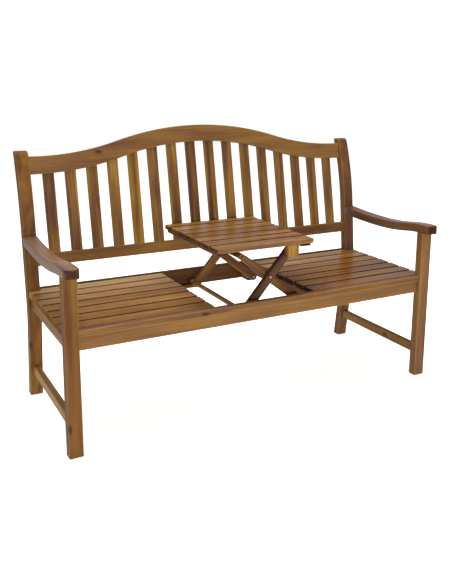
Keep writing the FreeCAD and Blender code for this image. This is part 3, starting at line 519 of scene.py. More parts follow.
CHARACTERS = {
    "front_post_left": Character(-0.35, 0.2, (-0.744, 0.0, 0.104)),
    "front_post_right": Character(-0.2, 0.75),
    "rear_post_left": Character(-0.3, 0.2, (-0.748, 0.517, 0.213)),
    "rear_post_right": Character(-0.55, 0.45),
    "arm_left": Character(-0.45, 0.95, thirst=1.0),
    "arm_right": Character(-0.8, 0.15, thirst=1.0),
    "front_apron": Character(0.0, 0.75),
    "front_nosing": Character(-0.17, 0.6, (-0.257, 0.010, 0.414)),
    # Its low tone is partly painted shade: it lies in shadow under the table.
    "rear_rail": Character(-1.05, 0.15, worn=0.0),
    "side_rail_left": Character(0.4, 0.65),
    "side_rail_right": Character(-0.2, 0.3),
    "side_stretcher_left": Character(0.5, 1.0),
    "side_stretcher_right": Character(-0.05, 0.5, (0.714, 0.214, 0.110)),
    "seat_bearer_left": Character(-0.7, 0.2),
    "seat_bearer_right": Character(-0.7, 0.2),
    "crest_rail": Character(0.0, 0.7, (-0.437, 0.598, 0.9235)),
    "lower_back_rail": Character(-0.2, 0.4),
    "table_batten_left": Character(0.0, 0.1, thirst=1.0),
    # Dark tone and dark end: painted shadow under the table's edge.
    "table_batten_right": Character(-1.2, 0.1, thirst=1.0),
    "lug_plug_front": Character(0.3, 0.15),
    "lug_plug_rear": Character(0.3, 0.15),
    "cross_rail": Character(-0.7, 0.1),
    "foot_bar": Character(0.55, 1.0),
    # The rearmost slats' light tones are partly a painted sheen.
    **row(
        "seat_slat_left",
        [
            (-0.05, 0.35), (-0.15, 0.2), (0.2, 0.45, (-0.549, 0.318, 0.428)), (-0.15, 0.0),
            (0.55, 0.4), (0.6, 0.8), (1.2, 1.0),
        ],
    ),
    # Front and middle slats darker partly as painted shade from the table, the rear two lighter partly as
    # painted sheen; their ends by the well are darkened as painted shade.
    **row(
        "seat_slat_right",
        [(-0.1, 0.6), (-0.2, 0.05), (-0.55, 0.0), (-0.5, 0.0), (-0.1, 0.0), (0.55, 0.8), (0.55, 0.05)],
        thirst=1.0,
    ),
    **row(
        "back_slat_left",
        [
            (-0.45, 0.45), (-0.3, 0.45), (-0.05, 0.55), (0.5, 0.25),
            (0.4, 0.5), (0.05, 0.4), (-0.25, 0.55), (-0.3, 0.5),
        ],
    ),
    **row(
        "back_slat_right",
        [
            (-0.45, 0.4), (0.1, 0.5), (-0.1, 0.45), (-0.3, 0.45),
            (-0.2, 0.5), (0.05, 0.4), (0.1, 0.5), (0.05, 0.55),
        ],
    ),
    **row(
        "table_slat",
        [(0.05, 0.8), (-0.25, 0.45), (0.1, 0.4), (-0.5, 0.05), (-0.1, 0.3), (0.15, 0.25), (0.2, 0.2)],
        thirst=0.6,
    ),
}


@dataclass(frozen=True)
class Grain:
    """Where a board's wood runs: its origin and directions, along Y unless they are given."""

    origin: Vector
    along: Vector = Vector((0, 1, 0))
    across: Vector = Vector((1, 0, 0))
    through: Vector = Vector((0, 0, 1))

    def at(self, place: Vector) -> Vector:
        """A place in the grain's own coordinates."""
        away = place - self.origin
        return Vector((away.dot(self.along), away.dot(self.across), away.dot(self.through)))


def paint_wood(
    piece: Object,
    grain: Grain,
    character: Character,
    rims: Sequence[float] = (),
    shades: Sequence[float] = (),
) -> None:
    """Writes the coordinates and the character that the wood's material reads.

    Args:
        piece: The board.
        grain: Where its wood runs.
        character: What sets it apart.
        rims: For each vertex, 1 in the middle of a rounded edge and 0 on a flat: the painted highlight's
            share.
        shades: For each vertex, 1 on a side that faces a narrow gap and 0 elsewhere: where painted shade
            goes.
    """
    mesh = piece.data
    chance = random.Random(piece.name + " grain")
    # Each board is cut from another place in the tree, 30 to 90 mm from its heart.
    pith = chance.uniform(0, 2 * math.pi)
    far = chance.uniform(0.03, 0.09)
    shift = Vector((chance.uniform(0, 6), far * math.cos(pith), far * math.sin(pith)))
    places = [value for vertex in mesh.vertices for value in grain.at(vertex.co) + shift]
    knot = Vector(NO_KNOT)
    if character.knot is not None:
        knot = grain.at(Vector(character.knot) + Vector((0, FRONT_FACE, 0))) + shift
    count = len(mesh.vertices)
    none = [0.0] * count
    marks = [character.tone, character.rosiness, character.thirst]
    ends = [face.normal.dot(grain.along) ** 2 for face in mesh.polygons]
    for name, kind, domain, values in (
        ("grain", "FLOAT_VECTOR", "POINT", places),
        ("character", "FLOAT_VECTOR", "POINT", marks * count),
        ("knot", "FLOAT_VECTOR", "POINT", list(knot) * count),
        ("rim", "FLOAT", "POINT", [character.worn * rim for rim in rims] or none),
        ("shade", "FLOAT", "POINT", shades or none),
        ("end", "FLOAT", "FACE", ends),
    ):
        made = mesh.attributes.new(name, kind, domain)
        made.data.foreach_set("value" if kind == "FLOAT" else "vector", values)


def rounded(points: Sequence[Point], radii: float | Sequence[float], steps: int = 4) -> list[Point]:
    """Rounds the corners of a closed outline.

    Args:
        points: The outline, anticlockwise.
        radii: One radius for all corners, or one for each; 0 leaves a corner sharp.
        steps: Straight steps round each corner.

    Returns:
        The outline with arcs.
    """
    sizes = [radii] * len(points) if isinstance(radii, (int, float)) else list(radii)
    made: list[Point] = []
    for index, (here, radius) in enumerate(zip(points, sizes)):
        if radius <= 0:
            made.append(here)
            continue
        corner = Vector(here)
        before = (Vector(points[index - 1]) - corner).normalized()
        after = (Vector(points[(index + 1) % len(points)]) - corner).normalized()
        half = math.acos(max(-1.0, min(1.0, before.dot(after)))) / 2
        reach = radius / math.tan(half)
        centre = corner + (before + after).normalized() * (radius / math.sin(half))
        start = corner + before * reach - centre
        stop = corner + after * reach - centre
        first = math.atan2(start.y, start.x)
        sweep = math.remainder(math.atan2(stop.y, stop.x) - first, 2 * math.pi)
        made += arc((centre.x, centre.y), radius, first, first + sweep, steps)
    return made


def arc(centre: Point, radius: float, start: float, stop: float, steps: int) -> list[Point]:
    """Points on an arc.

    Args:
        centre: Its centre.
        radius: Its radius.
        start: First angle in radians.
        stop: Last angle in radians.
        steps: Number of straight steps.

    Returns:
        Its points, both ends among them.
    """
    angles = [start + (stop - start) * i / steps for i in range(steps + 1)]
    return [(centre[0] + radius * math.cos(a), centre[1] + radius * math.sin(a)) for a in angles]


def box_outline(
    wide: float,
    tall: float,
    radii: float | Sequence[float] = 0.0,
    low: Point = (0.0, 0.0),
    steps: int = 4,
) -> list[Point]:
    """A rectangle, its corners sharp or rounded.

    Args:
        wide: Its width.
        tall: Its height.
        radii: One radius for all corners, or one for each, anticlockwise from the lower left.
        low: Its lower left corner.
        steps: Straight steps round each corner.

    Returns:
        The outline.
    """
    left, under = low
    right, over = left + wide, under + tall
    return rounded([(left, under), (right, under), (right, over), (left, over)], radii, steps)


def inset(points: Sequence[Point], depth: float) -> list[Point]:
    """Moves a closed anticlockwise outline inwards.

    Args:
        points: The outline.
        depth: How far.

    Returns:
        The smaller outline, with as many points.
    """
    made: list[Point] = []
    for index, here in enumerate(points):
        corner = Vector(here)
        before = (corner - Vector(points[index - 1])).normalized()
        after = (Vector(points[(index + 1) % len(points)]) - corner).normalized()
        first = Vector((-before.y, before.x))
        second = Vector((-after.y, after.x))
        moved = corner + (first + second) * (depth / (1 + first.dot(second)))
        made.append((moved.x, moved.y))
    return made


def corner_rims(outline: Sequence[Point]) -> list[float]:
    """For each point of an outline, 1 inside a small rounding and 0 elsewhere: where a painted highlight
    goes.
    """
    sides = [math.dist(here, after) for here, after in zip(outline, [*outline[1:], outline[0]])]
    return [float(max(sides[i - 1], sides[i]) < SMALL_STEP) for i in range(len(outline))]


def skin(name: str, rings: Sequence[Ring]) -> Object:
    """Joins rings of points to a closed, smooth-shaded solid.

    Args:
        name: The piece's name.
        rings: Rings with equally many points, from one end to the other.

    Returns:
        The piece.
    """
    size = len(rings[0])
    vertices = [point for ring in rings for point in ring]
    faces = [tuple(range(size))[::-1], tuple(range((len(rings) - 1) * size, len(rings) * size))]
    for index in range(len(rings) - 1):
        low = index * size
        for here in range(size):
            after = (here + 1) % size
            faces.append((low + here, low + after, low + size + after, low + size + here))
    mesh = bpy.data.meshes.new(name)
    mesh.from_pydata(vertices, [], faces)
    mesh.validate()
    mesh.shade_smooth()
    piece = bpy.data.objects.new(name, mesh)
    bpy.context.scene.collection.objects.link(piece)
    level = piece.modifiers.new("flat faces stay flat", "WEIGHTED_NORMAL")
    level.mode = "FACE_AREA"
    level.weight = 60  # large faces count for more than the roundings
    return piece


@dataclass
class Joiner:
    """Makes boards and turned pieces, and gives them to the frame."""

    materials: dict[str, Material] = field(default_factory=dict)

    def finish(self, wood: OiledAcacia | ZincPlatedSteel) -> Material:
        """Finds a finish's material, which is built once.

        Args:
            wood: The finish.

        Returns:
            The material.
        """
        if wood.name not in self.materials:
            self.materials[wood.name] = wood.material()
        return self.materials[wood.name]

    def deliver(self, piece: Object, stock: Stock, nodes: Sequence[str]) -> None:
        """Dresses a piece and sets it in the frame.

        Args:
            piece: The piece.
            stock: What it is made of.
            nodes: The nodes it stands for.
        """
        wood, slot, body = stock.wood, stock.slot, stock.body
        piece.data.materials.append(self.finish(wood))
        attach(piece, body.value)
        named = list(nodes)
        if named:
            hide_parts(*named)
        faces = len(piece.data.polygons)
        LOG.info("%s: %d faces, for %s", piece.name, faces, ", ".join(named) or "nothing else")

    def board(
        self,
        name: str,
        stock: Stock,
        outline: Sequence[Point],
        thickness: float,
        easing: float,
        place: Matrix,
        grain_turn: float = 0.0,
        grain_through: bool = False,
        gaps: tuple[bool, bool] = (False, False),
        node: str = "",
        steps: int = 3,
    ) -> None:
        """A board with an outline, a thickness and eased edges.

        Args:
            name: The piece's name.
            stock: What it is made of.
            outline: Anticlockwise outline in the board's own plane.
            thickness: Along the board's own third direction.
            easing: Radius of the edges.
            place: Where the board's own frame stands.
            grain_turn: Angle in degrees from the board's first direction to its grain.
            grain_through: Whether the grain runs along the thickness instead.
            gaps: Whether its first and its last long side face a narrow gap.
            node: The node it stands for, if that isn't the one of its own name.
            steps: Steps round an eased edge.
        """
        levels: list[Triple] = []
        # Levels up an eased edge: height, inset and the painted highlight's share, strongest halfway round.
        for step in range(steps + 1):
            angle = math.pi / 2 * step / steps
            up, depth = (easing * (1 - way(angle)) for way in (math.cos, math.sin))
            levels.append((up, depth, math.sin(2 * angle)))
        levels += [(thickness - up, depth, rim) for up, depth, rim in reversed(levels)]
        rings: list[Ring] = []
        shades: list[float] = []
        sides = (min(v for _, v in outline), max(v for _, v in outline))
        for up, depth, _ in levels:
            shape = inset(outline, depth) if depth > 0 else outline
            rings.append([place @ Vector((u, v, up)) for u, v in shape])
            # Painted shade on the sides that face a narrow gap.
            dark = next((shade for reach, shade in GAP_SHADES if depth < reach * easing), 0.0)
            for _, v in outline:
                shades.append(dark * any(gap and abs(v - side) < NEAR for gap, side in zip(gaps, sides)))
        # Painted highlight: each level's share, and where the grain runs through the thickness also the
        # outline's small roundings.
        corners = corner_rims(outline) if grain_through else [0.0] * len(outline)
        ends = (0, len(levels) - 1)
        rims = [
            rim if level in ends else max(rim, corner)
            for level, (_, _, rim) in enumerate(levels)
            for corner in corners
        ]
        turn = math.radians(grain_turn)
        axes = place.to_3x3()
        along = axes @ Vector((math.cos(turn), math.sin(turn), 0))
        across = axes @ Vector((-math.sin(turn), math.cos(turn), 0))
        through = axes @ Vector((0, 0, 1))
        if grain_through:
            along, through = through, along
        piece = skin(f"{name}_board", rings)
        grain = Grain(place.to_translation(), along, across, through)
        paint_wood(piece, grain, CHARACTERS[name], rims, shades)
        self.deliver(piece, stock, [node or name])

    def turned(
        self,
        name: str,
        stock: Stock,
        profile: Sequence[Point],
        centre: Point,
        nodes: Sequence[str],
        sides: int = 40,
    ) -> None:
        """A piece turned about an axis that runs from front to back.

        Args:
            name: The piece's name.
            stock: What it is made of.
            profile: Pairs of a place on the axis, from the front face, and a radius.
            centre: X and Z of the axis.
            nodes: The nodes it stands for.
            sides: Sides round.
        """
        x, z = centre
        turns = [2 * math.pi * i / sides for i in reversed(range(sides))]
        rings = [
            [Vector((x + radius * math.cos(a), FRONT_FACE + back, z + radius * math.sin(a))) for a in turns]
            for back, radius in profile
        ]
        piece = skin(f"{name}_turned", rings)
        if isinstance(stock.wood, OiledAcacia):
            paint_wood(piece, Grain(Vector((x, FRONT_FACE + profile[0][0], z))), CHARACTERS[name])
        self.deliver(piece, stock, nodes)

    def dress(self, node: Object, material: Material, slot: Slot) -> None:
        """Gives a carried-over node its finish.

        Args:
            node: The node's object.
            material: The finish.
            slot: Its material slot; not used.
        """
        node.data.materials.clear()
        node.data.materials.append(material)
        LOG.info("%s: carried over, %s", node.name, material.name)


def upright(x: float) -> Matrix:
    """Frame of a board whose outline is (back from the front face, up) and whose thickness runs along X."""
    return Matrix(((0, 0, 1, x), (1, 0, 0, FRONT_FACE), (0, 1, 0, 0), (0, 0, 0, 1)))


def flat(x: float, back: float, z: float) -> Matrix:
    """Frame of a board that lies flat, its outline (along X, along Y) and its thickness upwards."""
    return Matrix.Translation((x, FRONT_FACE + back, z))


@dataclass
class Posts:
    """Front posts, straight, and rear posts, dog-legged and bowed backwards at the top."""

    joiner: Joiner
    outer: float = 0.750
    wide: float = 0.048
    deep: float = 0.036
    front_top: Point = (0.6080, 0.60675)  # at the front and at the back, under the arm's slope
    knee: Point = (0.5006, 0.336)
    rake: float = math.radians(7.52)
    lean: float = math.radians(5.71)
    knee_radius: float = 0.400
    knee_steps: int = 8
    bow_height: float = 0.640
    bow_radius: float = 1.190
    bow_steps: int = 14
    top: float = 0.937
    foot_round: float = 0.002
    top_round: Point = (0.005, 0.018)  # the top's rear and front corner
    easing: float = 0.003

    def middle(self, side: Side) -> float:
        """X of the middle of that side's posts."""
        return side.value * (self.outer - self.wide / 2)

    def face_at(self, height: float) -> float:
        """How far back the rear posts' front face lies at a height, away from its bends."""
        above = height - self.knee[1]
        return self.knee[0] + (above * math.tan(self.lean) if above > 0 else -above * math.tan(self.rake))

    def face(self, depth: float) -> list[Point]:
        """Points up one long face of the rear post.

        Args:
            depth: How far behind the front face it lies.

        Returns:
            Points from the foot to the top.
        """
        knee_y, knee_z = self.knee
        setback = self.knee_radius * math.tan((self.rake + self.lean) / 2)
        foot = (knee_y + knee_z * math.tan(self.rake) + depth / math.cos(self.rake), 0.0)
        bend = (
            knee_y + setback * math.sin(self.lean) + self.knee_radius * math.cos(self.lean),
            knee_z + setback * math.cos(self.lean) - self.knee_radius * math.sin(self.lean),
        )
        knee = arc(bend, self.knee_radius - depth, math.pi + self.rake, math.pi - self.lean, self.knee_steps)
        run = (self.bow_height - knee_z) / math.cos(self.lean)
        bow_y = knee_y + run * math.sin(self.lean) + self.bow_radius * math.cos(self.lean)
        bow_z = knee_z + run * math.cos(self.lean) - self.bow_radius * math.sin(self.lean)
        radius = self.bow_radius - depth
        end = math.pi - math.asin((self.top - bow_z) / radius)
        return [foot, *knee, *arc((bow_y, bow_z), radius, math.pi - self.lean, end, self.bow_steps)]

    def build(self) -> None:
        """Makes the four posts."""
        front_high, back_high = self.front_top
        foot = self.foot_round
        corners = [(0, 0), (self.deep, 0), (self.deep, back_high), (0, front_high)]
        straight = rounded(corners, [foot, foot, 0, 0])
        near, far = self.face(0.0), self.face(self.deep)
        plain = [0.0] * (len(near) - 2)
        bent = rounded([*far, *near[::-1]], [foot, *plain, *self.top_round, *plain, foot], FINE_STEPS)
        for side in Side:
            place = upright(self.middle(side) - self.wide / 2)
            for name, outline in (("front_post", straight), ("rear_post", bent)):
                self.joiner.board(
                    f"{name}_{side.word}", FRAME, outline, self.wide, self.easing, place, grain_turn=90
                )


@dataclass
class Arms:
    """Arms with a dished top, the nose turned over and rounded in plan."""

    joiner: Joiner
    posts: Posts
    wide: float = 0.052
    thick: float = 0.034
    nose: float = -0.034
    nose_steps: int = 34
    corner: float = 0.017
    low_top: float = 0.6202
    low_back: float = 0.285
    turn_back: float = 0.105
    back_radius: float = 2.594
    back_steps: int = 14
    fore_radius: float = 1.206
    fore_steps: int = 12
    nose_radius: float = 0.750
    easing: float = 0.0045
    tip_easing: float = 0.0075
    tip_share: float = 0.8  # the most of half its width that a rounding takes

    def spine(self, depth: float) -> list[Point]:
        """Points along the arm's top, or along its underside.

        Args:
            depth: How far below the top.

        Returns:
            Points from the nose to the rear post.
        """
        centre = (self.low_back, self.low_top + self.back_radius)
        radius = self.back_radius + depth
        reach = self.posts.face_at(self.low_top) - self.low_back
        end = self.posts.face_at(centre[1] - math.sqrt(radius**2 - reach**2)) - self.low_back
        rear = arc(centre, radius, -math.pi / 2, math.asin(end / radius) - math.pi / 2, self.back_steps)
        turn = math.asin((self.low_back - self.turn_back) / self.fore_radius)
        middle = (self.low_back, self.low_top + self.fore_radius)
        fore = arc(middle, self.fore_radius + depth, -math.pi / 2 - turn, -math.pi / 2, self.fore_steps)
        both = self.fore_radius + self.nose_radius
        over = (middle[0] - both * math.sin(turn), middle[1] - both * math.cos(turn))
        radius = self.nose_radius - depth
        tip = math.acos((self.nose - over[0]) / radius)
        # Steps grow from the nose, so that its rounding gets enough of them.
        shares = [(i / self.nose_steps) ** 2 for i in range(self.nose_steps)]
        angles = [tip + (math.pi / 2 - turn - tip) * share for share in shares]
        noses = [(over[0] + radius * math.cos(a), over[1] + radius * math.sin(a)) for a in angles]
        return [*noses, *fore[:-1], *rear]

    def build(self) -> None:
        """Makes both arms."""
        top, under = self.spine(0.0), self.spine(self.thick)
        start = top[0][0]
        for side in Side:
            middle = self.posts.middle(side)
            rings = [
                self.section(middle, over, below, max(0.0, over[0] - start))
                for over, below in zip(top, under)
            ]
            name = f"arm_{side.word}"
            piece = skin(f"{name}_board", rings)
            paint_wood(piece, Grain(Vector((middle, FRONT_FACE, self.low_top))), CHARACTERS[name])
            self.joiner.deliver(piece, Stock(ARM_WOOD, Slot.FRAME), [name])

    def half_at(self, from_nose: float) -> float:
        """Half the arm's width at a distance from its nose."""
        rest = max(0.0, self.corner - from_nose)
        return self.wide / 2 - self.corner + math.sqrt(self.corner**2 - rest**2)

    def section(self, middle: float, over: Point, below: Point, from_nose: float) -> Ring:
        """One cross section of the arm.

        Args:
            middle: X of the arm's middle.
            over: Place on the top line.
            below: Place on the bottom line.
            from_nose: Distance from the nose.

        Returns:
            The section's points.
        """
        rest = max(0.0, self.tip_easing - from_nose)
        cut = self.tip_easing - math.sqrt(self.tip_easing**2 - rest**2)
        half = self.half_at(from_nose) - cut
        easing = min(self.easing, half * self.tip_share)
        ring = []
        for across, rise in box_outline(2 * half, self.thick - 2 * cut, easing, (-half, cut)):
            share = rise / self.thick
            back, up = (low + (high - low) * share for low, high in zip(below, over))
            ring.append(Vector((middle + across, FRONT_FACE + back, up)))
        return ring[::-1]


@dataclass
class SeatFrame:
    """Apron, nosing, rear rail, side rails, stretchers and bearers."""

    joiner: Joiner
    posts: Posts
    inner: float = 0.702  # X of the posts' inner faces
    top: float = 0.4064
    low: float = 0.357
    apron: Point = (0.0195, 0.016)
    nosing: Point = (0.010, 0.026)
    rear: Point = (0.529, 0.016)
    rear_heights: Point = (0.360, 0.431)
    slat_thick: float = 0.022
    side_thick: float = 0.023
    stretcher: Point = (0.091, 0.126)
    bearer: Point = (0.222, 0.023)
    bearer_low: float = 0.366
    easing: float = 0.003
    bearer_easing: float = 0.002
    end_easing: float = 0.0005
    tight: float = 0.001  # rounding where two rails meet
    nosing_round: float = 0.0035

    def along(self, name: str, back: Point, heights: Point, radii: Sequence[float]) -> None:
        """A rail along the bench between the posts.

        Args:
            name: The piece's name.
            back: Place of its front face and its thickness.
            heights: Its underside and its top.
            radii: Roundings of its corners, from the lower front one anticlockwise.
        """
        near, thick = back
        low, high = heights
        outline = box_outline(thick, high - low, radii, (near, low), FINE_STEPS)
        self.joiner.board(
            name, FRAME, outline, 2 * self.inner, self.end_easing, upright(-self.inner),
            grain_turn=90, grain_through=True, steps=1,
        )

    def build(self) -> None:
        """Makes the seat's frame."""
        easing, tight = self.easing, self.tight
        self.along("front_apron", self.apron, (self.low, self.top), [easing, easing, tight, easing])
        nosing_heights = (self.top, self.top + self.slat_thick)
        self.along("front_nosing", self.nosing, nosing_heights, [easing, tight, easing, self.nosing_round])
        self.along("rear_rail", self.rear, self.rear_heights, [easing] * 4)
        start = sum(self.apron)
        near, thick = self.bearer
        bearer = box_outline(self.rear[0] - start, self.top - self.bearer_low, 0.0, (start, self.bearer_low))
        for side in Side:
            place = upright(self.posts.middle(side) - self.side_thick / 2)
            for name, heights in (("side_rail", (self.low, self.top)), ("side_stretcher", self.stretcher)):
                rear = [(self.posts.face_at(height), height) for height in heights]
                front = [(self.posts.deep, height) for height in heights]
                outline = [front[0], *rear, front[1]]
                self.joiner.board(f"{name}_{side.word}", FRAME, outline, self.side_thick, easing, place)
            place = upright(near if side is Side.RIGHT else -near - thick)
            self.joiner.board(f"seat_bearer_{side.word}", FRAME, bearer, thick, self.bearer_easing, place)


@dataclass
class SeatSlats:
    """Seven slats on each side; the rearmost is notched round the rear post."""

    joiner: Joiner
    posts: Posts
    count: int = 7
    inner: float = 0.208
    outer: float = 0.746
    low: float = 0.4064
    thick: float = 0.022
    wide: float = 0.0625
    pitch: float = 0.0708
    first: float = 0.038
    corner: float = 0.007
    easing: float = 0.003
    notch_gap: float = 0.0008

    def build(self) -> None:
        """Makes the fourteen slats."""
        long = self.outer - self.inner
        for side in Side:
            left = self.inner if side is Side.RIGHT else -self.outer
            for index in range(self.count):
                front = self.first + index * self.pitch
                last = index == self.count - 1
                outline = box_outline(long, self.wide, self.corner)
                if last:
                    outline = self.notched(side, long, front)
                self.joiner.board(
                    f"seat_slat_{side.word}_{index + 1}", Stock(SEAT_WOOD, Slot.SEAT), outline, self.thick,
                    self.easing, flat(left, front, self.low), gaps=(True, not last),
                )

    def notched(self, side: Side, long: float, front: float) -> list[Point]:
        """Outline of the rearmost slat.

        Args:
            side: The bench's end.
            long: The slat's length.
            front: Its front edge.

        Returns:
            The outline.
        """
        deep = self.posts.face_at(self.low) - self.notch_gap - front
        inward = long - (self.outer - self.posts.outer + self.posts.wide) - self.notch_gap
        corner = self.corner
        points = [(0, 0), (long, 0), (long, deep), (inward, deep), (inward, self.wide), (0, self.wide)]
        radii = [corner, corner, corner, 0.0, corner, corner]
        if side is Side.LEFT:
            points = [(long - u, v) for u, v in points][::-1]
            radii = radii[::-1]
        return rounded(points, radii)


@dataclass
class Back:
    """Arched crest rail, lower rail and sixteen slats in one leaning plane."""

    joiner: Joiner
    inner: float = 0.702
    lean: float = math.radians(10.57)
    foot: Point = (0.531, 0.560)
    crest_thick: float = 0.026
    band: float = 0.067
    end_low: float = 0.2975
    arch: float = 1.200
    arch_steps: int = 36
    shoulder: float = 1.062
    shoulder_steps: int = 14
    angle: float = math.radians(17.23)
    rail_tall: float = 0.045
    rail_thick: float = 0.024
    slat_wide: float = 0.043
    slat_thick: float = 0.012
    let_in: float = 0.012  # how far the slats go into both rails
    pitch: float = 0.0844
    pairs: int = 8
    easing: float = 0.003
    slat_easing: float = 0.0025

    def plane(self, thick: float, x: float = 0.0) -> Matrix:
        """Frame in the leaning plane: along the bench, up the back, and towards the sitter.

        Args:
            thick: Thickness of a board that is to lie in the middle of the crest rail's.
            x: X of its origin.

        Returns:
            The frame, at the board's back.
        """
        up = Vector((0, math.sin(self.lean), math.cos(self.lean)))
        forward = Vector((0, -math.cos(self.lean), math.sin(self.lean)))
        depth = (self.crest_thick + thick) / 2
        origin = Vector((x, FRONT_FACE + self.foot[0], self.foot[1])) - forward * depth
        rows = [(1.0 if i == 0 else 0.0, up[i], forward[i], origin[i]) for i in range(3)]
        return Matrix((*rows, (0, 0, 0, 1)))

    def edge(self, raised: float) -> list[Point]:
        """The crest rail's lower or upper edge, from left to right.

        Args:
            raised: 0 for the lower edge, or the band's height for the upper.

        Returns:
            Its points.
        """
        arch = self.arch - self.band + raised
        shoulder = self.shoulder + self.band - raised
        full = (arch + shoulder) * math.sin(self.angle)
        low = self.end_low + raised
        joint = low + shoulder * (1 - math.cos(self.angle))
        lift, quarter = (full, low + shoulder), math.pi / 2
        right = arc(lift, shoulder, -quarter, -quarter - self.angle, self.shoulder_steps)
        middle = (0.0, joint - arch * math.cos(self.angle))
        over = arc(middle, arch, quarter - self.angle, quarter + self.angle, self.arch_steps)
        left = [(-u, v) for u, v in right[::-1]]
        return [(self.inner, low), *right, *over[1:-1], *left, (-self.inner, low)][::-1]

    def height_at(self, along: float) -> float:
        """Height of the crest rail's lower edge.

        Args:
            along: X of the place.

        Returns:
            Its height above the lower rail.
        """
        points = self.edge(0.0)
        for (u, v), (after, above) in zip(points, points[1:]):
            if u <= along <= after and after > u:
                return v + (above - v) * (along - u) / (after - u)
        return self.end_low

    def build(self) -> None:
        """Makes the back."""
        crest = self.edge(0.0) + self.edge(self.band)[::-1]
        lower = box_outline(2 * self.inner, self.rail_tall, 0.0, (-self.inner, -self.rail_tall))
        rails, slats = Stock(FRAME_WOOD, Slot.BACK), Stock(BACK_WOOD, Slot.BACK)
        for name, outline, thick in (
            ("crest_rail", crest, self.crest_thick),
            ("lower_back_rail", lower, self.rail_thick),
        ):
            self.joiner.board(name, rails, outline, thick, self.easing, self.plane(thick))
        for pair in range(self.pairs):
            for side in Side:
                middle = side.value * (pair + 0.5) * self.pitch
                tall = self.height_at(middle) + 2 * self.let_in
                outline = box_outline(self.slat_wide, tall, 0.0, (-self.slat_wide / 2, -self.let_in))
                self.joiner.board(
                    f"back_slat_{side.word}_{pair + 1}", slats, outline, self.slat_thick, self.slat_easing,
                    self.plane(self.slat_thick, middle), grain_turn=90, node=f"back_slat_pair_{pair + 1}",
                )


@dataclass
class TableTop:
    """Slatted table top with its battens, lugs, plugs and bearing strips."""

    joiner: Joiner
    frame_nodes: dict[str, Object]
    half: float = 0.2018
    middle: float = 0.0032  # the table's middle stands right of the bench's
    top: float = 0.6306
    thick: float = 0.0175
    front: float = 0.040
    first: float = 0.038
    pitch: float = 0.0708
    wide: float = 0.0625
    last_wide: float = 0.048
    last_shift: float = 0.003
    count: int = 7
    corner: float = 0.007
    small_corner: float = 0.005
    easing: float = 0.003
    batten_wide: float = 0.045
    batten_thick: float = 0.0115
    batten_inner: float = 0.152
    batten_easing: float = 0.002
    setback: float = 0.012
    pin: Point = (0.106538, 0.585504)  # X and Z of the lug pins
    plug_deep: float = 0.0039
    plug_round: float = 0.003
    plug_sides: int = 24
    rosiness: float = 0.15

    @property
    def back(self) -> float:
        """Rear edge of the table."""
        return self.first + (self.count - 1) * self.pitch + self.last_shift + self.last_wide

    def build(self) -> None:
        """Makes the table top."""
        under = self.top - self.thick
        for index in range(self.count):
            last = index == self.count - 1
            low = self.first + index * self.pitch
            high = self.back if last else low + self.wide
            low = self.front if index == 0 else low + self.last_shift * last
            near = self.corner if index == 0 else self.small_corner
            far = self.corner if last else self.small_corner
            outline = box_outline(2 * self.half, high - low, [near, near, far, far], steps=FINE_STEPS)
            self.joiner.board(
                f"table_slat_{index + 1}", TABLE, outline, self.thick, self.easing,
                flat(self.middle - self.half, low, under), gaps=(index > 0, not last),
            )
        low = self.front + self.setback
        batten = box_outline(self.batten_wide, self.back - self.setback - low, self.corner)
        for side in Side:
            x = self.middle + side.value * self.batten_inner
            if side is Side.LEFT:
                x -= self.batten_wide
            self.joiner.board(
                f"table_batten_{side.word}", TABLE, batten, self.batten_thick, self.batten_easing,
                flat(x, low, under - self.batten_thick), grain_turn=90, node="table_battens",
            )
        for name, turn, tone in (("table_lugs", 90.0, 0.3), ("bearing_strips", 0.0, -0.2)):
            wood = TABLE_WOOD.material(turn, tone, self.rosiness)
            self.joiner.dress(self.frame_nodes[name], wood, Slot.TABLE)
        # Wooden plugs cover the ends of the lug pins, cut flush with the lugs.
        for name, start in (("lug_plug_front", self.front), ("lug_plug_rear", self.back - self.plug_deep)):
            profile = [(start, self.plug_round), (start + self.plug_deep, self.plug_round)]
            self.joiner.turned(name, TABLE, profile, self.pin, [], self.plug_sides)


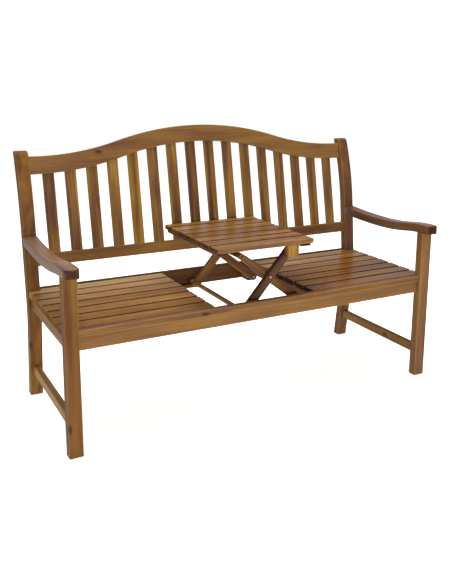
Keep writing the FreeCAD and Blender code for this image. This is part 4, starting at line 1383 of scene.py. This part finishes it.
@dataclass
class Scissor:
    """Two pairs of crossing legs with their rails, runners, blocks and bolts."""

    joiner: Joiner
    frame_nodes: dict[str, Object]
    table_ends: Point = (0.040, 0.5138)
    hinge: Point = (0.181, 0.380)
    inner_angle: float = 37.9
    inner_foot: float = 0.1913
    inner_head: float = 0.1394
    outer_angle: float = 49.0
    outer_foot: float = 0.1600
    outer_from_front: float = 0.0606
    inner_from_front: float = 0.0808
    leg_thick: float = 0.0194
    rail_round: float = 0.0107
    rail_easing: float = 0.0012
    tenon_round: float = 0.0055
    tenon_easing: float = 0.0008
    bar_round: float = 0.0094
    bar_easing: float = 0.0015
    bar_ends: Point = (0.0395, 0.525)
    gap: float = 0.00035
    bolt_round: float = 0.003
    bolt_sides: int = 24
    hinge_roots: Point = (0.0355, 0.529)  # where the hinge bolts start in the apron and the rear rail
    head_round: float = 0.005
    head_thick: float = 0.0022
    rosiness: float = 0.45

    def up_inner_leg(self, reach: float) -> Point:
        """X and Z of a place on the inner legs, that far from their hinge."""
        angle = math.radians(self.inner_angle)
        return (self.hinge[0] - reach * math.cos(angle), self.hinge[1] + reach * math.sin(angle))

    @property
    def crossing(self) -> Point:
        """X and Z of the crossing bolts."""
        return self.up_inner_leg(self.inner_foot)

    @property
    def foot(self) -> Point:
        """Finds the foot bar, at the outer legs' feet.

        Returns:
            Its X and Z.
        """
        angle = math.radians(self.outer_angle)
        x, z = self.crossing
        return (x - self.outer_foot * math.cos(angle), z - self.outer_foot * math.sin(angle))

    def mirrored(self, profile: Sequence[Point]) -> list[Point]:
        """The same profile counted from the table's rear edge, again from front to back."""
        return [(sum(self.table_ends) - back, radius) for back, radius in reversed(profile)]

    def round_end(self, place: float, radius: float, inward: float, easing: float) -> list[Point]:
        """Profile of a turned bar's eased end.

        Args:
            place: Where the end face stands.
            radius: The bar's radius.
            inward: 1 where the bar continues to the back and -1 to the front.
            easing: Radius of the end's edge.

        Returns:
            Profile points, from the end face inwards.
        """
        points = []
        for step in (3, 2, 1, 0):
            angle = math.pi / 2 * step / 3
            back, off = (easing * (1 - way(angle)) for way in (math.sin, math.cos))
            points.append((place + inward * back, radius - off))
        return points

    def bolt_head(self, seat: float, outward: float) -> list[Point]:
        """Profile of a domed bolt head with a socket.

        Args:
            seat: Where the head sits.
            outward: -1 where it looks to the front and 1 to the back.

        Returns:
            Profile points, from the socket's floor to the seat.
        """
        radius, thick = self.head_round, self.head_thick
        shape = [
            (0.45, 0.02), (0.45, 0.38), (1.0, 0.42), (0.97, 0.55), (0.82, 0.8), (0.45, 0.97), (0.0, 1.0),
        ]
        return [(seat + outward * thick * out, radius * wide) for out, wide in shape]

    def build(self) -> None:
        """Makes the scissor."""
        # The legs' low tones are partly painted shade from the table over them.
        dressings = (
            ("inner_leg_front", -self.inner_angle, -0.4), ("inner_leg_rear", -self.inner_angle, -0.5),
            ("outer_leg_front", self.outer_angle, -0.75), ("outer_leg_rear", self.outer_angle, -0.05),
            ("foot_runners", 0.0, -0.5), ("hinge_blocks", 0.0, -0.4),
        )
        for name, turn, tone in dressings:
            wood = SCISSOR_WOOD.material(turn, tone, self.rosiness)
            self.joiner.dress(self.frame_nodes[name], wood, Slot.SCISSOR)
        self.joiner.dress(self.frame_nodes["lug_pins"], self.joiner.finish(PIN_STEEL), Slot.STEEL)
        inner_side = self.inner_from_front + self.leg_thick
        tenon = self.round_end(self.inner_from_front, self.tenon_round, 1, self.tenon_easing)
        shoulder = self.round_end(inner_side, self.rail_round, 1, self.rail_easing)
        rail = [*tenon, (inner_side, self.tenon_round), *shoulder]
        near = self.round_end(self.bar_ends[0], self.bar_round, 1, self.bar_easing)
        far = self.round_end(self.bar_ends[1], self.bar_round, -1, self.bar_easing)
        head = self.up_inner_leg(self.inner_foot + self.inner_head)
        for name, profile, centre, body in (
            ("cross_rail", rail + self.mirrored(rail), head, Body.INNER_LEGS),
            ("foot_bar", near + far[::-1], self.foot, Body.OUTER_LEGS),
        ):
            self.joiner.turned(name, Stock(SCISSOR_WOOD, Slot.SCISSOR, body), profile, centre, [name])
        self.bolts(inner_side)

    def bolts(self, inner_side: float) -> None:
        """Crossing bolts and foot hinge bolts, front and rear.

        Args:
            inner_side: Inner face of the front inner leg, from the front face.
        """
        shank = self.bolt_round
        near = self.outer_from_front - self.gap
        crossing = self.bolt_head(near, -1) + [(near, shank), (inner_side, shank)]
        crossing += self.bolt_head(inner_side, 1)[::-1]
        seat = inner_side + self.gap
        root, rear_root = self.hinge_roots
        hinge, rear_hinge = (
            [(start, CLOSED), (start, shank), (seat, shank), *self.bolt_head(seat, 1)[::-1]]
            for start in (root, sum(self.table_ends) - rear_root)
        )
        for name, front, rear, centre, body in (
            ("crossing_bolt", crossing, crossing, self.crossing, Body.INNER_LEGS),
            ("foot_hinge_bolt", hinge, rear_hinge, self.hinge, Body.BENCH),
        ):
            stock = Stock(BOLT_STEEL, Slot.STEEL, body)
            for end, profile in (("front", front), ("rear", self.mirrored(rear))):
                self.joiner.turned(f"{name}_{end}", stock, profile, centre, [f"{name}s"], self.bolt_sides)


@dataclass
class Studio:
    """White studio: paper floor, soft boxes and the camera at the photograph's place."""

    eye: Triple = (-1.2969, -2.4655, 1.2355)
    turn: Triple = (78.0104, -0.7136, -29.2371)
    lens: float = 45.042
    sensor: float = 36.0
    shift: Point = (-0.04688, -0.11164)
    farthest: float = 60.0  # how far the camera sees
    floor_half: float = 9.0
    floor_z: float = -0.0005
    aim: Triple = (0.0, 0.0, 0.45)  # what the soft boxes look at

    def build(self) -> None:
        """Makes the floor, the lights and the camera."""
        mesh = bpy.data.meshes.new("studio_floor")
        half = self.floor_half
        corners = [(-half, -half, 0), (half, -half, 0), (half, half, 0), (-half, half, 0)]
        mesh.from_pydata(corners, [], [(0, 1, 2, 3)])
        floor = bpy.data.objects.new("studio_floor", mesh)
        bpy.context.scene.collection.objects.link(floor)
        floor.location.z = self.floor_z
        mesh.materials.append(StudioPaper().material())
        self.walls()
        self.soft_box("soft_box_top", (-0.2, 0.5, 3.2), (3.2, 2.2), 140.0)
        self.soft_box("soft_box_low", (-0.9, -5.0, 0.75), (4.5, 0.9), 166.0)
        self.camera()

    def walls(self) -> None:
        """The studio's walls: white behind the bench, darker to its left and behind the camera."""
        world = bpy.data.worlds.new("studio")
        world.use_nodes = True
        tree = world.node_tree
        way = add_node(tree, "TexCoord").outputs["Generated"]
        parts = add_node(tree, "SeparateXYZ", None, {"Vector": way})
        share: Input = 1.0
        for axis, start, stop, low, high in (
            ("Y", -0.5, 0.3, 0.25, 1.02),
            ("X", -0.5, 0.1, 0.65, 1.0),
            ("Z", 0.1, 0.3, 1.0, 0.5),
        ):
            way = parts.outputs[axis]
            wall = add_node(
                tree, "MapRange", None,
                {"Value": way, "From Min": start, "From Max": stop, "To Min": low, "To Max": high},
            ).outputs[0]
            share = add_node(tree, "Math", {"operation": "MULTIPLY"}, {0: share, 1: wall}).outputs[0]
        background = tree.nodes["Background"]
        background.inputs["Color"].default_value = linear("#FFFFFF")
        tree.links.new(share, background.inputs["Strength"])
        bpy.context.scene.world = world
        bpy.context.scene.view_settings.view_transform = "Standard"

    def soft_box(self, name: str, place: Triple, size: Point, power: float) -> None:
        """A soft light that looks at the bench.

        Args:
            name: The light's name.
            place: Where it hangs.
            size: Its width and height.
            power: Its power in watts.
        """
        data = bpy.data.lights.new(name, "AREA")
        data.shape = "RECTANGLE"
        data.size, data.size_y = size
        data.energy = power
        light = bpy.data.objects.new(name, data)
        bpy.context.scene.collection.objects.link(light)
        light.location = place
        light.rotation_mode = "QUATERNION"
        light.rotation_quaternion = (Vector(self.aim) - Vector(place)).to_track_quat("-Z", "Y")

    def camera(self) -> None:
        """The camera, at the photograph's viewing angle."""
        data = bpy.data.cameras.new("camera")
        data.lens = self.lens
        data.sensor_width = self.sensor
        data.shift_x, data.shift_y = self.shift
        data.clip_end = self.farthest
        camera = bpy.data.objects.new("camera", data)
        bpy.context.scene.collection.objects.link(camera)
        camera.location = self.eye
        camera.rotation_euler = [math.radians(angle) for angle in self.turn]
        bpy.context.scene.camera = camera


def main() -> None:
    """Builds the bench and its studio."""
    logging.basicConfig(level=logging.INFO, format="%(message)s")
    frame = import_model()
    joiner = Joiner()
    posts = Posts(joiner)
    builders: tuple[Callable[[], None], ...] = (
        posts.build,
        Arms(joiner, posts).build,
        SeatFrame(joiner, posts).build,
        SeatSlats(joiner, posts).build,
        Back(joiner).build,
        TableTop(joiner, frame["nodes"]).build,
        Scissor(joiner, frame["nodes"]).build,
        Studio().build,
    )
    for build in builders:
        build()


if __name__ == "__main__":
    main()
